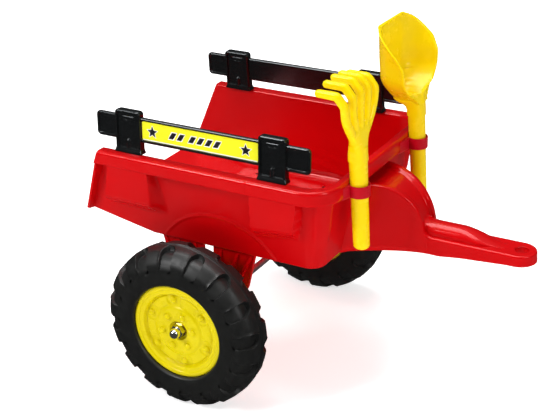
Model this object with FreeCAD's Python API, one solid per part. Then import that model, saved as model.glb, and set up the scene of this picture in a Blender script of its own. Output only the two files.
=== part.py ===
import FreeCAD, Part
import math
import os

# Two-wheeled toy trailer for a pedal tractor: open tub, tow bar, side boards on posts, and a
# rake and a shovel that stand in two rings.
# Millimetres.  +X points forward to the hitch eye, +Y to the left, +Z up, z = 0 is the floor.
# Everything is drawn with x measured from the axle and shifted at the end, so that the
# origin lies on the floor at mid-length and mid-width.

# ---------------------------------------------------------------- driving dimensions
# wheels and axle
WHEEL_R = 120.0             # outside radius over the lugs
WHEEL_Y = 193.5             # wheel centre plane from the middle of the trailer
WHEEL_HALF_W = 31.5         # half the tyre's width
AXLE_Z = WHEEL_R            # the lugs stand on the floor
AXLE_R = 5.0
AXLE_END = 216.0            # half the rod's length; it ends inside the cap nuts
LUGS = 16                   # pockets round each half of the tread
POCKET_DEPTH = 7.0
RIM_R = 70.0                # where the tyre meets the wheel discs
BUSH_R = 9.0
BUSH_FLANGE_R = 14.0
BUSH_CLEARANCE = 0.06       # radial, between the bush and the axle
HUB_WELL = 16.5             # recessed middle of the disc, out from the wheel's centre plane
HUB_BACK = -24.0            # inner end of the wheel's hub, from the same plane
SIDE_PLAY = 0.5             # gap between the turning bush and the outer washer
WASHER_THICK = 2.0
NUT_FLATS = 17.0            # across the flats of the M10 cap nut
NUT_HIGH = 8.0
NUT_DOME_R = 7.6

# axle brackets
BRACKET_Y = (126.0, 131.0)  # the upright web
BRACKET_TOP_HALF = 76.0
BRACKET_LIP = 5.0           # thickness of the flange under the floor
WINDOW_HALF = 8.0           # half width of the opening between a bracket's legs
BOSS_Y = (118.0, 156.0)
BOSS_R = 18.0

# tub
FLOOR_Z = 216.0             # underside of the tub's floor
RIM_Z = 340.0               # flat top of the tub's rim
WALL = 3.0                  # moulded wall thickness
TUB_TOP_HALF = 150.5        # outside of the side wall at the rim
TUB_FLOOR_HALF = 130.0      # outside of the side wall at the floor
TUB_TOP_FRONT = 193.0       # outside of the front wall at the rim
TUB_FLOOR_FRONT = 160.0     # outside of the front wall at the floor
TUB_CORNER = 34.0           # outside corner radius of the walls
REAR_TOP_X = -154.0         # rear edge of the side wall at the rim
REAR_FLOOR_X = -194.0       # rear edge of the floor
REAR_FLOOR_Z = 237.0        # the floor rises to this height at its rear edge
FLOOR_KINK_X = -85.0        # where the floor starts to rise
RIM_HALF = 166.0            # outside of the rim's lip
RIM_FRONT = 204.0
RIM_CORNER = 44.0
LIP_DEPTH = 20.0            # height of the rim's down-turned lip
RIM_EDGE = 4.0              # rounding of the rim's outer edge
ARCH_X = 22.0               # centre of the bead over the wheel
ARCH_Z = 160.0
ARCH_R = 106.0
ARCH_BEAD = 2.5

# posts and boards
POST_X = (-109.6, 116.7)    # middle of the rear and of the front posts
POST_W = 41.0
POST_TOP = 400.5
POST_Y = (140.4, 152.8)     # inner and outer face of a post
POST_TONGUE = (22.0, 3.6)   # length and thickness of the snap tongue in the rim
BOARD_X = (-163.5, 171.5)
BOARD_Z = (357.0, 392.5)
BOARD_Y = (143.4, 149.8)
BOARD_LEAN = 3.0            # degrees, top towards the middle of the trailer
BOARD_PANEL = 1.6           # depth of the recessed panels
BOARD_BORDER = 4.0
LABEL_THICK = 0.4

# drawbar
FOOT_X = (70.0, 158.0)      # foot under the tub's floor
FOOT_HALF = 60.0
FOOT_THICK = 8.0
HITCH_R = 68.0              # radius of the hitch box's rounded top
HITCH_FRONT = 277.0
HITCH_TOP = 310.0
HITCH_WALL = 4.0
HITCH_BEAD = (10.0, 5.0)    # width and height of the bead along each top edge
BAR_HALF = 24.0             # half width of the tow bar
BAR_TIP_X = 428.0
BAR_TOP_Z = 240.0
BAR_THICK = 15.0
EYE_X = 407.0
EYE_R = 9.5

# screws
FOOT_SCREWS = [(x, y) for x in (88.0, 138.0) for y in (-42.0, 42.0)]
BRACKET_SCREWS = [(x, y) for x in (-58.0, 58.0) for y in (-106.0, 106.0)]
SCREW_R = 3.0
SCREW_HEAD_R = 6.0
SCREW_HEAD = 4.0

# tools and their rings
TOOL_X = 214.8              # middle of both rings
TOOL_Y = 94.0
RAKE_LEAN = 2.6             # degrees, the handles lean back over the tub
SHOVEL_LEAN = 3.4
TOOL_BOTTOM = 242.0
HANDLE_R = (11.1, 12.3)     # the handles widen upwards, from the lower end to the neck
NECK_Z = 376.0
RING_BORE_R = 12.8
RING_WALL = 2.0
RING_Z = (318.0, 334.5)
RING_FOOT_Y = (54.0, 121.0) # where a ring's foot spreads along the rim's front lip
NEST_R = 13.2               # hollow in the lip behind each handle
HEAD_X = 216.5              # middle of the rake's upright tines
TINE_R = 6.3
TINE_SPREAD = (-43.0, -21.5, 0.0, 21.5, 43.0)
TINE_TOP = 474.0            # height of the middle tine's bent part
TINE_DROP = 7.0             # how much lower the outermost tines are
TINE_REACH = 38.0           # how far the bent tips stand back over the tub
SCOOP_WALL = 3.0
SCOOP_TOP = 500.0

MID_LENGTH_X = (REAR_FLOOR_X + BAR_TIP_X) / 2.0

V = FreeCAD.Vector


# ---------------------------------------------------------------- small helpers
def mix(a, b, t):
    return a + (b - a) * t


def box(x0, x1, y0, y1, z0, z1):
    return Part.makeBox(x1 - x0, y1 - y0, z1 - z0, V(x0, y0, z0))


def rod_y(radius, y0, y1, x=0.0, z=AXLE_Z):
    """Cylinder along Y."""
    return Part.makeCylinder(radius, y1 - y0, V(x, y0, z), V(0, 1, 0))


def rod_z(radius, x, y, z0, z1):
    return Part.makeCylinder(radius, z1 - z0, V(x, y, z0), V(0, 0, 1))


def outline(corners, radii=None):
    """Closed wire through the corners, each one rounded by its own radius where it has one."""
    radii = radii or [0.0] * len(corners)
    stretches = []
    for i, corner in enumerate(corners):
        back = (corners[i - 1] - corner).normalize()
        ahead = (corners[(i + 1) % len(corners)] - corner).normalize()
        half_angle = back.getAngle(ahead) / 2.0
        reach = radii[i] / math.tan(half_angle)
        middle = corner
        if radii[i] > 0.0:
            middle = corner + (back + ahead).normalize() * (radii[i] / math.sin(half_angle) - radii[i])
        stretches.append((corner + back * reach, middle, corner + ahead * reach))
    edges = []
    for i, (start, middle, end) in enumerate(stretches):
        following = stretches[(i + 1) % len(stretches)][0]
        if radii[i] > 0.0:
            edges.append(Part.Arc(start, middle, end).toShape())
        if (following - end).Length > 1e-6:
            edges.append(Part.makeLine(end, following))
    return Part.Wire(edges)


def prism_xz(points, y0, y1, radii=None):
    """A side profile pushed across the trailer."""
    wire = outline([V(x, y0, z) for x, z in points], radii)
    return Part.Face(wire).extrude(V(0, y1 - y0, 0))


def prism_yz(points, x0, x1, radii=None):
    """A cross section pushed along the trailer."""
    wire = outline([V(x0, y, z) for y, z in points], radii)
    return Part.Face(wire).extrude(V(x1 - x0, 0, 0))


def prism_xy(points, z0, z1, radii=None):
    """A plan outline pushed upwards."""
    wire = outline([V(x, y, z0) for x, y in points], radii)
    return Part.Face(wire).extrude(V(0, 0, z1 - z0))


def front_corners(x0, x1, half):
    """Plan of a box from x0 forward to x1; its two front corners are the ones rounded."""
    return [(x0, -half), (x1, -half), (x1, half), (x0, half)]


def rounded_plate(x0, x1, y0, y1, z0, z1, radius):
    """Upright plate with its four corners rounded in the XZ plane."""
    return prism_xz([(x0, z0), (x1, z0), (x1, z1), (x0, z1)], y0, y1, [radius] * 4)


def fused(shapes):
    return shapes[0].fuse(shapes[1:]).removeSplitter()


def mirrored(shape):
    """The same piece on the other side of the trailer."""
    return shape.mirror(V(0, 0, 0), V(0, 1, 0))


def revolved(profile, radii=None):
    """Ring about the axle from (radius, offset) corners, offset outwards from the wheel's plane."""
    wire = outline([V(r, WHEEL_Y + w, AXLE_Z) for r, w in profile], radii)
    return Part.Face(wire).revolve(V(0, 0, AXLE_Z), V(0, 1, 0), 360)


# ---------------------------------------------------------------- tub
def tub_loft(z0, z1, inset):
    """Tapering body between two heights, inset from the outside of the walls."""
    wires = []
    for z in (z0, z1):
        t = (z - FLOOR_Z) / (RIM_Z - FLOOR_Z)
        half = mix(TUB_FLOOR_HALF, TUB_TOP_HALF, t) - inset
        front = mix(TUB_FLOOR_FRONT, TUB_TOP_FRONT, t) - inset
        corner = TUB_CORNER - inset
        plan = front_corners(REAR_FLOOR_X - 60.0, front, half)
        wires.append(outline([V(x, y, z) for x, y in plan], [0.0, corner, corner, 0.0]))
    return Part.makeLoft(wires, True, True)


def above_floor(lift, rear_extra):
    """Everything above the floor line and ahead of the slanted rear edge."""
    rise = (REAR_FLOOR_Z - FLOOR_Z) / (REAR_FLOOR_X - FLOOR_KINK_X)
    slant = (REAR_TOP_X - REAR_FLOOR_X) / (RIM_Z - REAR_FLOOR_Z)
    low_x = REAR_FLOOR_X - rear_extra
    low_z = FLOOR_Z + rise * (low_x - FLOOR_KINK_X)
    top = RIM_Z + 40.0
    return prism_xz([(low_x, low_z + lift), (FLOOR_KINK_X, FLOOR_Z + lift), (300.0, FLOOR_Z + lift),
                     (300.0, top), (low_x + slant * (top - low_z), top)], -300.0, 300.0)


def tub_outside():
    """The tub's outer body as one block, which its neighbours are cut back to."""
    return tub_loft(FLOOR_Z, RIM_Z, 0.0).common(above_floor(0.0, 0.0))


def tub_inside():
    return tub_loft(FLOOR_Z + WALL, RIM_Z + 5.0, WALL).common(above_floor(WALL, 60.0))


def rim_block(inset, z0, z1):
    """The rim's plan from the rear edge to its front lip, as a block."""
    corner = RIM_CORNER - inset
    plan = front_corners(REAR_TOP_X - 60.0, RIM_FRONT - inset, RIM_HALF - inset)
    return prism_xy(plan, z0, z1, [0.0, corner, corner, 0.0])


def rim():
    """Flat rim with a rounded edge and a down-turned lip, open at the rear."""
    slab = rim_block(0.0, RIM_Z - LIP_DEPTH, RIM_Z)
    top_edges = [e for e in slab.Edges if e.BoundBox.ZMin > RIM_Z - 0.1]
    slab = slab.makeFillet(RIM_EDGE, [e for e in top_edges if e.BoundBox.XMax > REAR_TOP_X - 50.0])
    hollow = rim_block(WALL, RIM_Z - LIP_DEPTH - 1.0, RIM_Z - WALL)
    return slab.cut(hollow).common(above_floor(0.0, 0.0))


def tool_nests(radius, z0, z1):
    """Upright cylinders about the two tool positions."""
    return [rod_z(radius, TOOL_X, y, z0, z1) for y in (-TOOL_Y, TOOL_Y)]


def side_pads():
    """Upright pads under the posts, standing out from the leaning right-hand wall."""
    top = RIM_Z - 15.0
    section = [(-140.0, top), (3.0 - RIM_HALF, top), (-160.0, 268.0), (-134.0, 247.0)]
    slanted = prism_xz([(-74.0, 240.0), (-74.0, top), (-142.0, top), (-157.0, 247.0)], -200.0, 0.0)
    rear = prism_yz(section, -170.0, -74.0).common(slanted)
    front = prism_yz(section, 85.0, 152.0)
    return [rear, front]


def rear_flange():
    """Slanting plate that frames the open rear end on the right-hand side."""
    slant = (REAR_TOP_X - REAR_FLOOR_X) / (RIM_Z - REAR_FLOOR_Z)
    top = RIM_Z - 1.0
    section = [(-RIM_HALF, top), (-146.0, top), (-129.0, REAR_FLOOR_Z + 3.0), (-150.0, REAR_FLOOR_Z)]
    plate = prism_yz(section, -260.0, 0.0)
    band = [(REAR_FLOOR_X, REAR_FLOOR_Z), (REAR_FLOOR_X + 4.0, REAR_FLOOR_Z),
            (REAR_TOP_X + 4.0 - slant, top), (REAR_TOP_X - slant, top)]
    return plate.common(prism_xz(band, -300.0, 300.0))


def wheel_arch():
    """Low half-round bead over each wheel on the right-hand wall."""
    ring = rod_y(ARCH_R + 2.0, -150.0, -120.0, ARCH_X, ARCH_Z)
    ring = ring.cut(rod_y(ARCH_R - 2.0, -151.0, -119.0, ARCH_X, ARCH_Z))
    upper = box(-90.0, 150.0, -160.0, -100.0, FLOOR_Z + 10.0, RIM_Z)
    return ring.common(tub_loft(FLOOR_Z, RIM_Z, -ARCH_BEAD)).common(upper)


def post_slots():
    """Slots in the rim for the posts' snap tongues."""
    slots = []
    half_x = POST_TONGUE[0] / 2.0 + 1.0
    half_y = POST_TONGUE[1] / 2.0 + 0.5
    for x in POST_X:
        for y in (POST_Y[1] - 0.3, 0.3 - POST_Y[1]):
            slots.append(box(x - half_x, x + half_x, y - half_y, y + half_y, RIM_Z - 10.0, RIM_Z + 5.0))
    return slots


def screw_shanks():
    spots = FOOT_SCREWS + BRACKET_SCREWS
    return [rod_z(SCREW_R, x, y, FLOOR_Z - 20.0, FLOOR_Z + WALL + 1.0) for x, y in spots]


def make_tub():
    right = side_pads() + [rear_flange(), wheel_arch()]
    left = [mirrored(s) for s in right]
    lip = tool_nests(NEST_R + WALL, RIM_Z - LIP_DEPTH, RIM_Z - RIM_EDGE)
    lip = [s.common(rim_block(0.0, RIM_Z - LIP_DEPTH, RIM_Z)) for s in lip]
    body = fused([tub_outside(), rim()] + right + left + lip)
    nests = tool_nests(NEST_R, RIM_Z - LIP_DEPTH - 1.0, RIM_Z + 1.0)
    return body.cut([tub_inside()] + post_slots() + screw_shanks() + nests)


# ---------------------------------------------------------------- drawbar
def make_screws(spots, seat_z):
    """Pan-head screws put in from below, with their points flush with the tub's floor."""
    made = []
    for x, y in spots:
        head = rod_z(SCREW_HEAD_R, x, y, seat_z - SCREW_HEAD, seat_z)
        under = [e for e in head.Edges if e.BoundBox.ZMax < seat_z - SCREW_HEAD + 0.1]
        shank = rod_z(SCREW_R, x, y, seat_z, FLOOR_Z + WALL)
        made.append(head.makeFillet(2.0, under).fuse(shank))
    return Part.makeCompound(made)


def hitch_plan(grow, z0, z1):
    """Plan of the hitch box, wide at the tub and necking down to the tow bar."""
    half = [(140.0, 92.0), (189.0, 62.0), (232.0, 38.0), (HITCH_FRONT + 5.0, BAR_HALF)]
    right = [(x, -y - grow) for x, y in half]
    left = [(x, y + grow) for x, y in reversed(half)]
    return prism_xy(right + left, z0, z1, [0.0, 60.0, 60.0, 0.0, 0.0, 60.0, 60.0, 0.0])


def hitch_side(inset, low):
    """Side view of the hitch box: flat behind, with one large rounding at the top front."""
    top = HITCH_TOP - inset
    front = HITCH_FRONT - inset
    corners = [(130.0, low), (front, low), (front, top), (130.0, top)]
    return prism_xz(corners, -200.0, 200.0, [0.0, 0.0, HITCH_R - inset, 0.0])


def hitch_box():
    """Rounded box, open below, with a raised bead along each edge of its top."""
    bead_width, bead_height = HITCH_BEAD
    outer = hitch_plan(0.0, FLOOR_Z, 400.0).common(hitch_side(0.0, FLOOR_Z))
    groove = hitch_plan(-bead_width, 254.0, 400.0).cut(hitch_side(bead_height, 200.0))
    shell = bead_height + HITCH_WALL
    hollow = hitch_plan(-HITCH_WALL, 190.0, 400.0).common(hitch_side(shell, 190.0))
    return outer.cut([groove, hollow])


def tow_bar():
    """Flat bar with a full round end, a crown rib that runs out towards the eye, open below."""
    low = BAR_TOP_Z - BAR_THICK
    start = HITCH_FRONT - 10.0
    round_end = [0.0, BAR_HALF, BAR_HALF, 0.0]
    plan = prism_xy(front_corners(start, BAR_TIP_X, BAR_HALF), 200.0, 260.0, round_end)
    side = prism_xz([(start, FLOOR_Z), (300.0, FLOOR_Z), (395.0, low), (BAR_TIP_X + 5.0, low),
                     (BAR_TIP_X + 5.0, BAR_TOP_Z), (start, BAR_TOP_Z)], -60.0, 60.0)
    rib = prism_xz([(start, 230.0), (384.0, 230.0), (384.0, BAR_TOP_Z - 0.5), (325.0, 256.0),
                    (start, 256.0)], -17.0, 17.0, [0.0, 0.0, 0.0, 90.0, 0.0])
    hollow = prism_xz([(240.0, 190.0), (384.0, 190.0), (384.0, BAR_TOP_Z - 4.0), (240.0, BAR_TOP_Z - 4.0)],
                      4.0 - BAR_HALF, BAR_HALF - 4.0)
    return plan.common(side).fuse(rib).cut(hollow)


def make_drawbar():
    foot_z = FLOOR_Z - FOOT_THICK
    foot = box(FOOT_X[0], FOOT_X[1] + 10.0, -FOOT_HALF, FOOT_HALF, foot_z, FLOOR_Z)
    heel = box(FOOT_X[1] - 10.0, 240.0, -FOOT_HALF, FOOT_HALF, foot_z, FLOOR_Z)
    heel = heel.common(hitch_plan(0.0, foot_z, FLOOR_Z))
    body = fused([hitch_box(), tow_bar(), foot, heel])
    holes = [rod_z(SCREW_R, x, y, 190.0, 230.0) for x, y in FOOT_SCREWS]
    eye = rod_z(EYE_R, EYE_X, 0.0, 200.0, 260.0)
    return body.cut([tub_outside(), eye] + holes)


# ---------------------------------------------------------------- axle and its brackets
def make_bracket():
    """Two ribbed legs that run together from the tub's underside to the axle, drawn on the left."""
    half = [(BRACKET_TOP_HALF, FLOOR_Z), (62.0, 160.0), (20.0, 98.0)]
    web = prism_xz(half + [(-x, z) for x, z in reversed(half)], *BRACKET_Y,
                   [0.0, 20.0, 12.0, 12.0, 20.0, 0.0])
    flange = box(-BRACKET_TOP_HALF, BRACKET_TOP_HALF, 88.0, BRACKET_Y[0], FLOOR_Z - BRACKET_LIP, FLOOR_Z)
    taper = prism_yz([(120.0, FLOOR_Z), (BRACKET_Y[1], FLOOR_Z), (150.0, 150.0), (150.0, 112.0),
                      (120.0, 112.0)], -90.0, 90.0)
    parts = [web, flange, rod_y(BOSS_R, *BOSS_Y)]
    for foot_x, top_x in ((7.0, 22.0), (15.0, 50.0), (24.0, 72.0)):
        for side in (-1.0, 1.0):
            low, high = side * foot_x, side * top_x
            rib = prism_xz([(low - 2.0, AXLE_Z - 4.0), (low + 2.0, AXLE_Z - 4.0),
                            (high + 2.0, FLOOR_Z), (high - 2.0, FLOOR_Z)], BRACKET_Y[0], 150.0)
            parts.append(rib.common(taper))
    window = prism_xz([(-WINDOW_HALF, 230.0), (-WINDOW_HALF, 200.0), (0.0, 160.0), (WINDOW_HALF, 200.0),
                       (WINDOW_HALF, 230.0)], 80.0, 170.0, [0.0, 6.0, 2.0, 6.0, 0.0])
    holes = [rod_z(SCREW_R, x, y, 190.0, 230.0) for x, y in BRACKET_SCREWS if y > 0]
    return fused(parts).cut([rod_y(AXLE_R, 100.0, 170.0), window] + holes)


def make_axle():
    rod = rod_y(AXLE_R, -AXLE_END, AXLE_END)
    return rod.makeChamfer(1.0, [e for e in rod.Edges if e.BoundBox.YLength < 0.01])


# ---------------------------------------------------------------- wheels, drawn on the left
def tread_pocket(index, side):
    """Leaf-shaped pocket between two lugs, wide at the shoulder and pointed at the crown."""
    leaf = [(-11.0, 34.0), (9.0, 34.0), (10.0, 22.0), (1.0, 5.0), (-9.0, 22.0)]
    pocket = prism_xy([(x, side * y) for x, y in leaf], WHEEL_R - 24.0, WHEEL_R + 5.0,
                      [0.0, 0.0, 30.0, 1.0, 30.0])
    deep = WHEEL_R - POCKET_DEPTH
    slope = outline([V(0, side * y, r) for y, r in
                     ((0.0, deep), (16.0, deep), (25.0, WHEEL_R - 14.0), (27.0, WHEEL_R - 24.0),
                      (0.0, WHEEL_R - 26.0))])
    pocket = pocket.cut(Part.Face(slope).revolve(V(0, 0, 0), V(0, 1, 0), 360))
    pocket.rotate(V(0, 0, 0), V(0, 1, 0), 360.0 / LUGS * (index + (0.5 if side < 0 else 0.0)))
    pocket.translate(V(0, WHEEL_Y, AXLE_Z))
    return pocket


def make_tyre():
    """Hollow tyre, open towards the wheel, with a pocketed tread."""
    outside = [(RIM_R, WHEEL_HALF_W - 7.0), (73.5, WHEEL_HALF_W), (WHEEL_R - 18.0, WHEEL_HALF_W),
               (WHEEL_R - 1.5, WHEEL_HALF_W - 15.0), (WHEEL_R, 2.5)]
    outside += [(r, -w) for r, w in reversed(outside)]
    round_outside = [0.0, 3.0, 14.0, 10.0, 0.0]
    inside = [(RIM_R - 4.0, WHEEL_HALF_W - 12.0), (74.0, WHEEL_HALF_W - 6.0),
              (WHEEL_R - 22.0, WHEEL_HALF_W - 6.0), (WHEEL_R - 12.0, WHEEL_HALF_W - 18.0)]
    inside += [(r, -w) for r, w in reversed(inside)]
    ring = revolved(outside, round_outside + round_outside[::-1]).cut(revolved(inside))
    return ring.cut([tread_pocket(i, side) for i in range(LUGS) for side in (-1, 1)])


def dome_heads(circle_r, count, first_angle, low, high):
    """Ring of domed heads on the disc, between two offsets from the wheel's plane."""
    heads = []
    for i in range(count):
        a = math.radians(first_angle + i * 360.0 / count)
        x, z = circle_r * math.cos(a), AXLE_Z + circle_r * math.sin(a)
        head = rod_y(5.5, WHEEL_Y + low, WHEEL_Y + high, x, z)
        rims = [e for e in head.Edges if e.BoundBox.YMin > WHEEL_Y + high - 0.1]
        heads.append(head.makeFillet(2.5, rims))
    return heads


def make_disc():
    """Outer wheel disc: raised band, recess, raised centre and domed heads, with a skirt behind."""
    front = [(BUSH_R, HUB_WELL), (12.0, HUB_WELL), (13.0, 23.0), (34.5, 23.0), (37.0, 20.0), (54.0, 18.5),
             (57.0, 24.5), (62.0, 24.5), (63.0, 26.0), (69.0, 26.0), (RIM_R, 24.5)]
    back = [(RIM_R, -12.0), (67.0, -12.0), (67.0, 21.5), (59.0, 21.5), (56.5, 15.5), (20.0, 15.5),
            (20.0, 8.0), (BUSH_R, 8.0)]
    heads = dome_heads(47.0, 6, 37.6, 17.0, 22.5) + dome_heads(25.0, 6, 8.6, 21.5, 26.5)
    return fused([revolved(front + back)] + heads)


def make_wheel_back():
    """Inner wheel disc with its own short skirt, meeting the outer disc."""
    return revolved([(BUSH_R, HUB_BACK), (20.0, HUB_BACK), (20.0, -18.0), (60.0, -18.0), (63.0, -25.0),
                     (RIM_R, -25.0), (RIM_R, -12.0), (67.0, -12.0), (67.0, -21.0), (65.0, -21.0),
                     (62.0, -14.5), (20.0, -14.5), (20.0, 8.0), (BUSH_R, 8.0)])


def make_bush():
    """Flanged bush in the wheel's hub, turning on the axle."""
    start = BOSS_Y[1] + WASHER_THICK + SIDE_PLAY
    bush = rod_y(BUSH_R, start, WHEEL_Y + HUB_WELL)
    flange = rod_y(BUSH_FLANGE_R, start, WHEEL_Y + HUB_BACK)
    return fused([bush, flange]).cut(rod_y(AXLE_R + BUSH_CLEARANCE, start - 1.0, WHEEL_Y + HUB_WELL + 1.0))


def make_washer(y0, radius):
    return rod_y(radius, y0, y0 + WASHER_THICK).cut(rod_y(AXLE_R, y0 - 1.0, y0 + WASHER_THICK + 1.0))


def make_cap_nut(y0):
    """Domed hexagon nut screwed onto the axle's end."""
    corner_r = NUT_FLATS / math.sqrt(3.0)
    angles = [math.radians(60.0 * i) for i in range(6)]
    corners = [(corner_r * math.cos(a), AXLE_Z + corner_r * math.sin(a)) for a in angles]
    hexagon = prism_xz(corners, y0, y0 + NUT_HIGH)
    neck = rod_y(NUT_DOME_R, y0 + NUT_HIGH, y0 + NUT_HIGH + 4.0)
    crown = Part.makeSphere(NUT_DOME_R, V(0, y0 + NUT_HIGH + 4.0, AXLE_Z))
    return fused([hexagon, neck, crown]).cut(rod_y(AXLE_R, y0 - 1.0, AXLE_END))


# ---------------------------------------------------------------- boards and posts, drawn on the left
def leaned(shape):
    shape = shape.copy()
    shape.rotate(V(0, (POST_Y[0] + POST_Y[1]) / 2.0, RIM_Z), V(1, 0, 0), BOARD_LEAN)
    return shape


def board_slab():
    return rounded_plate(*BOARD_X, *BOARD_Y, *BOARD_Z, 6.0)


def make_board():
    """Side board with recessed panels: three outside and one at each end inside."""
    half = POST_W / 2.0
    rear = (BOARD_X[0] + BOARD_BORDER, POST_X[0] - half - 1.0)
    middle = (POST_X[0] + half + 1.0, POST_X[1] - half - 1.0)
    front = (POST_X[1] + half + 1.0, BOARD_X[1] - BOARD_BORDER)
    low, high = BOARD_Z[0] + BOARD_BORDER, BOARD_Z[1] - BOARD_BORDER
    panels = [rounded_plate(a, b, BOARD_Y[1] - BOARD_PANEL, BOARD_Y[1] + 1.0, low, high, 2.5)
              for a, b in (rear, middle, front)]
    panels += [rounded_plate(a, b, BOARD_Y[0] - 1.0, BOARD_Y[0] + BOARD_PANEL, low, high, 2.5)
               for a, b in (rear, front)]
    return leaned(board_slab().cut(panels))


def make_label():
    """Thin sticker in the middle panel between the posts."""
    margin = POST_W / 2.0 + 1.5
    face = BOARD_Y[1] - BOARD_PANEL
    return leaned(rounded_plate(POST_X[0] + margin, POST_X[1] - margin, face, face + LABEL_THICK,
                                BOARD_Z[0] + BOARD_BORDER + 0.5, BOARD_Z[1] - BOARD_BORDER - 0.5, 2.0))


def make_post(x):
    """Sleeve round the board, with a rimmed panel and a peg on both faces and a foot on the rim."""
    inner, outer = POST_Y
    x0, x1 = x - POST_W / 2.0, x + POST_W / 2.0
    body = rounded_plate(x0, x1, inner, outer, RIM_Z - 12.0, POST_TOP, 5.0)
    body = body.cut([rounded_plate(x0 + 4.0, x1 - 4.0, y0, y1, RIM_Z - 20.0, POST_TOP - 5.0, 3.0)
                     for y0, y1 in ((outer - 1.6, outer + 1.0), (inner - 1.0, inner + 1.6))])
    pegs = []
    for y in (outer - 2.5, inner + 2.5):
        pegs += [rod_z(3.0, x, y, RIM_Z + 2.0, RIM_Z + 16.0), Part.makeSphere(3.0, V(x, y, RIM_Z + 16.0))]
    foot = box(x0 - 1.5, x1 + 1.5, inner - 0.5, outer + 1.5, RIM_Z - 5.0, RIM_Z + 4.0)
    body = leaned(fused([body, foot] + pegs).cut(board_slab()))
    body = body.cut(box(x0 - 20.0, x1 + 20.0, 100.0, 200.0, RIM_Z - 40.0, RIM_Z))
    length, thick = POST_TONGUE
    y = outer - 0.3
    tongue = box(x - length / 2.0, x + length / 2.0, y - thick / 2.0, y + thick / 2.0,
                 RIM_Z - 9.0, RIM_Z + 5.0)
    return fused([body, tongue])


# ---------------------------------------------------------------- tool rings, drawn on the left
def make_ring():
    """Loop round a tool handle, closed by the rim's front lip, with a foot that spreads along it."""
    outer = RING_BORE_R + RING_WALL
    low, high = RING_Z
    loop = rod_z(outer, TOOL_X, TOOL_Y, low, high)
    foot = prism_xy([(RIM_FRONT - 5.0, RING_FOOT_Y[0]), (RIM_FRONT + 1.5, RING_FOOT_Y[0]),
                     (TOOL_X - 3.0, TOOL_Y - outer), (TOOL_X - 3.0, TOOL_Y + outer),
                     (RIM_FRONT + 1.5, RING_FOOT_Y[1]), (RIM_FRONT - 5.0, RING_FOOT_Y[1])], low, high)
    bore = rod_z(RING_BORE_R, TOOL_X, TOOL_Y, low - 1.0, high + 1.0)
    return fused([loop, foot]).cut([bore, rim_block(0.0, low - 2.0, high + 2.0)])


# ---------------------------------------------------------------- tools
def handle(y, lean):
    """Leaning handle that widens towards its neck, with a rounded lower end."""
    low_r, high_r = HANDLE_R
    taper_z = TOOL_BOTTOM + 8.0
    shaft = Part.makeCone(low_r, high_r, NECK_Z - taper_z, V(TOOL_X, y, taper_z), V(0, 0, 1))
    end = rod_z(low_r, TOOL_X, y, TOOL_BOTTOM, taper_z)
    low = [e for e in end.Edges if e.BoundBox.ZMax < TOOL_BOTTOM + 0.1]
    whole = fused([shaft, end.makeFillet(6.0, low)])
    whole.rotate(V(TOOL_X, y, sum(RING_Z) / 2.0), V(0, 1, 0), -lean)
    return whole


def make_rake():
    """Five-tined hand rake on the right, its tips bent back over the tub."""
    y = -TOOL_Y
    half = [(46.0, 444.0), (36.0, 424.0), (15.0, 398.0), (11.0, 370.0)]
    palm = prism_yz([(y + w, z) for w, z in half] + [(y - w, z) for w, z in reversed(half)],
                    HEAD_X - 20.0, HEAD_X + 20.0, [0.0, 30.0, 30.0, 0.0, 0.0, 30.0, 30.0, 0.0])
    side = prism_xz([(HEAD_X - 14.0, 370.0), (HEAD_X + 8.0, 370.0), (HEAD_X + 8.0, 395.0),
                     (HEAD_X + 5.0, 444.0), (HEAD_X - 5.0, 444.0), (HEAD_X - 11.0, 395.0)],
                    y - 60.0, y + 60.0)
    parts = [handle(y, RAKE_LEAN), palm.common(side)]
    for offset in TINE_SPREAD:
        top = TINE_TOP - TINE_DROP * (offset / TINE_SPREAD[-1]) ** 2
        foot = V(HEAD_X, y + offset * 0.72, 420.0)
        knee = V(HEAD_X, y + offset, top - 14.0)
        bend = V(HEAD_X - 11.0, y + offset, top)
        tip = V(HEAD_X - TINE_REACH, y + offset, top + 2.0)
        for a, b in ((foot, knee), (knee, bend), (bend, tip)):
            parts.append(Part.makeCylinder(TINE_R, (b - a).Length, a, b - a))
        parts += [Part.makeSphere(TINE_R, p) for p in (knee, bend, tip)]
    return fused(parts)


def scoop_block(inset):
    """Scoop as a solid lofted through level sections, flat behind and flaring towards the front."""
    sections = ((385.0, 186.0, 13.0, 17.0), (403.0, 173.0, 27.0, 40.0), (425.0, 170.0, 45.0, 63.0),
                (451.0, 169.0, 47.0, 68.0), (SCOOP_TOP + 6.0, 170.0, 50.0, 112.0))
    front_x = 242.0
    wires = []
    for z, back_x, back_half, front_half in sections:
        lift = inset if z < 390.0 else 0.0
        back = back_x + inset
        plan = [(front_x, inset - front_half), (back, inset - back_half), (back, back_half - inset),
                (front_x, front_half - inset)]
        corner = min(12.0, 0.6 * back_half) - inset
        wires.append(outline([V(x, TOOL_Y + y, z + lift) for x, y in plan], [0.0, corner, corner, 0.0]))
    return Part.makeLoft(wires, True, True)


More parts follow.
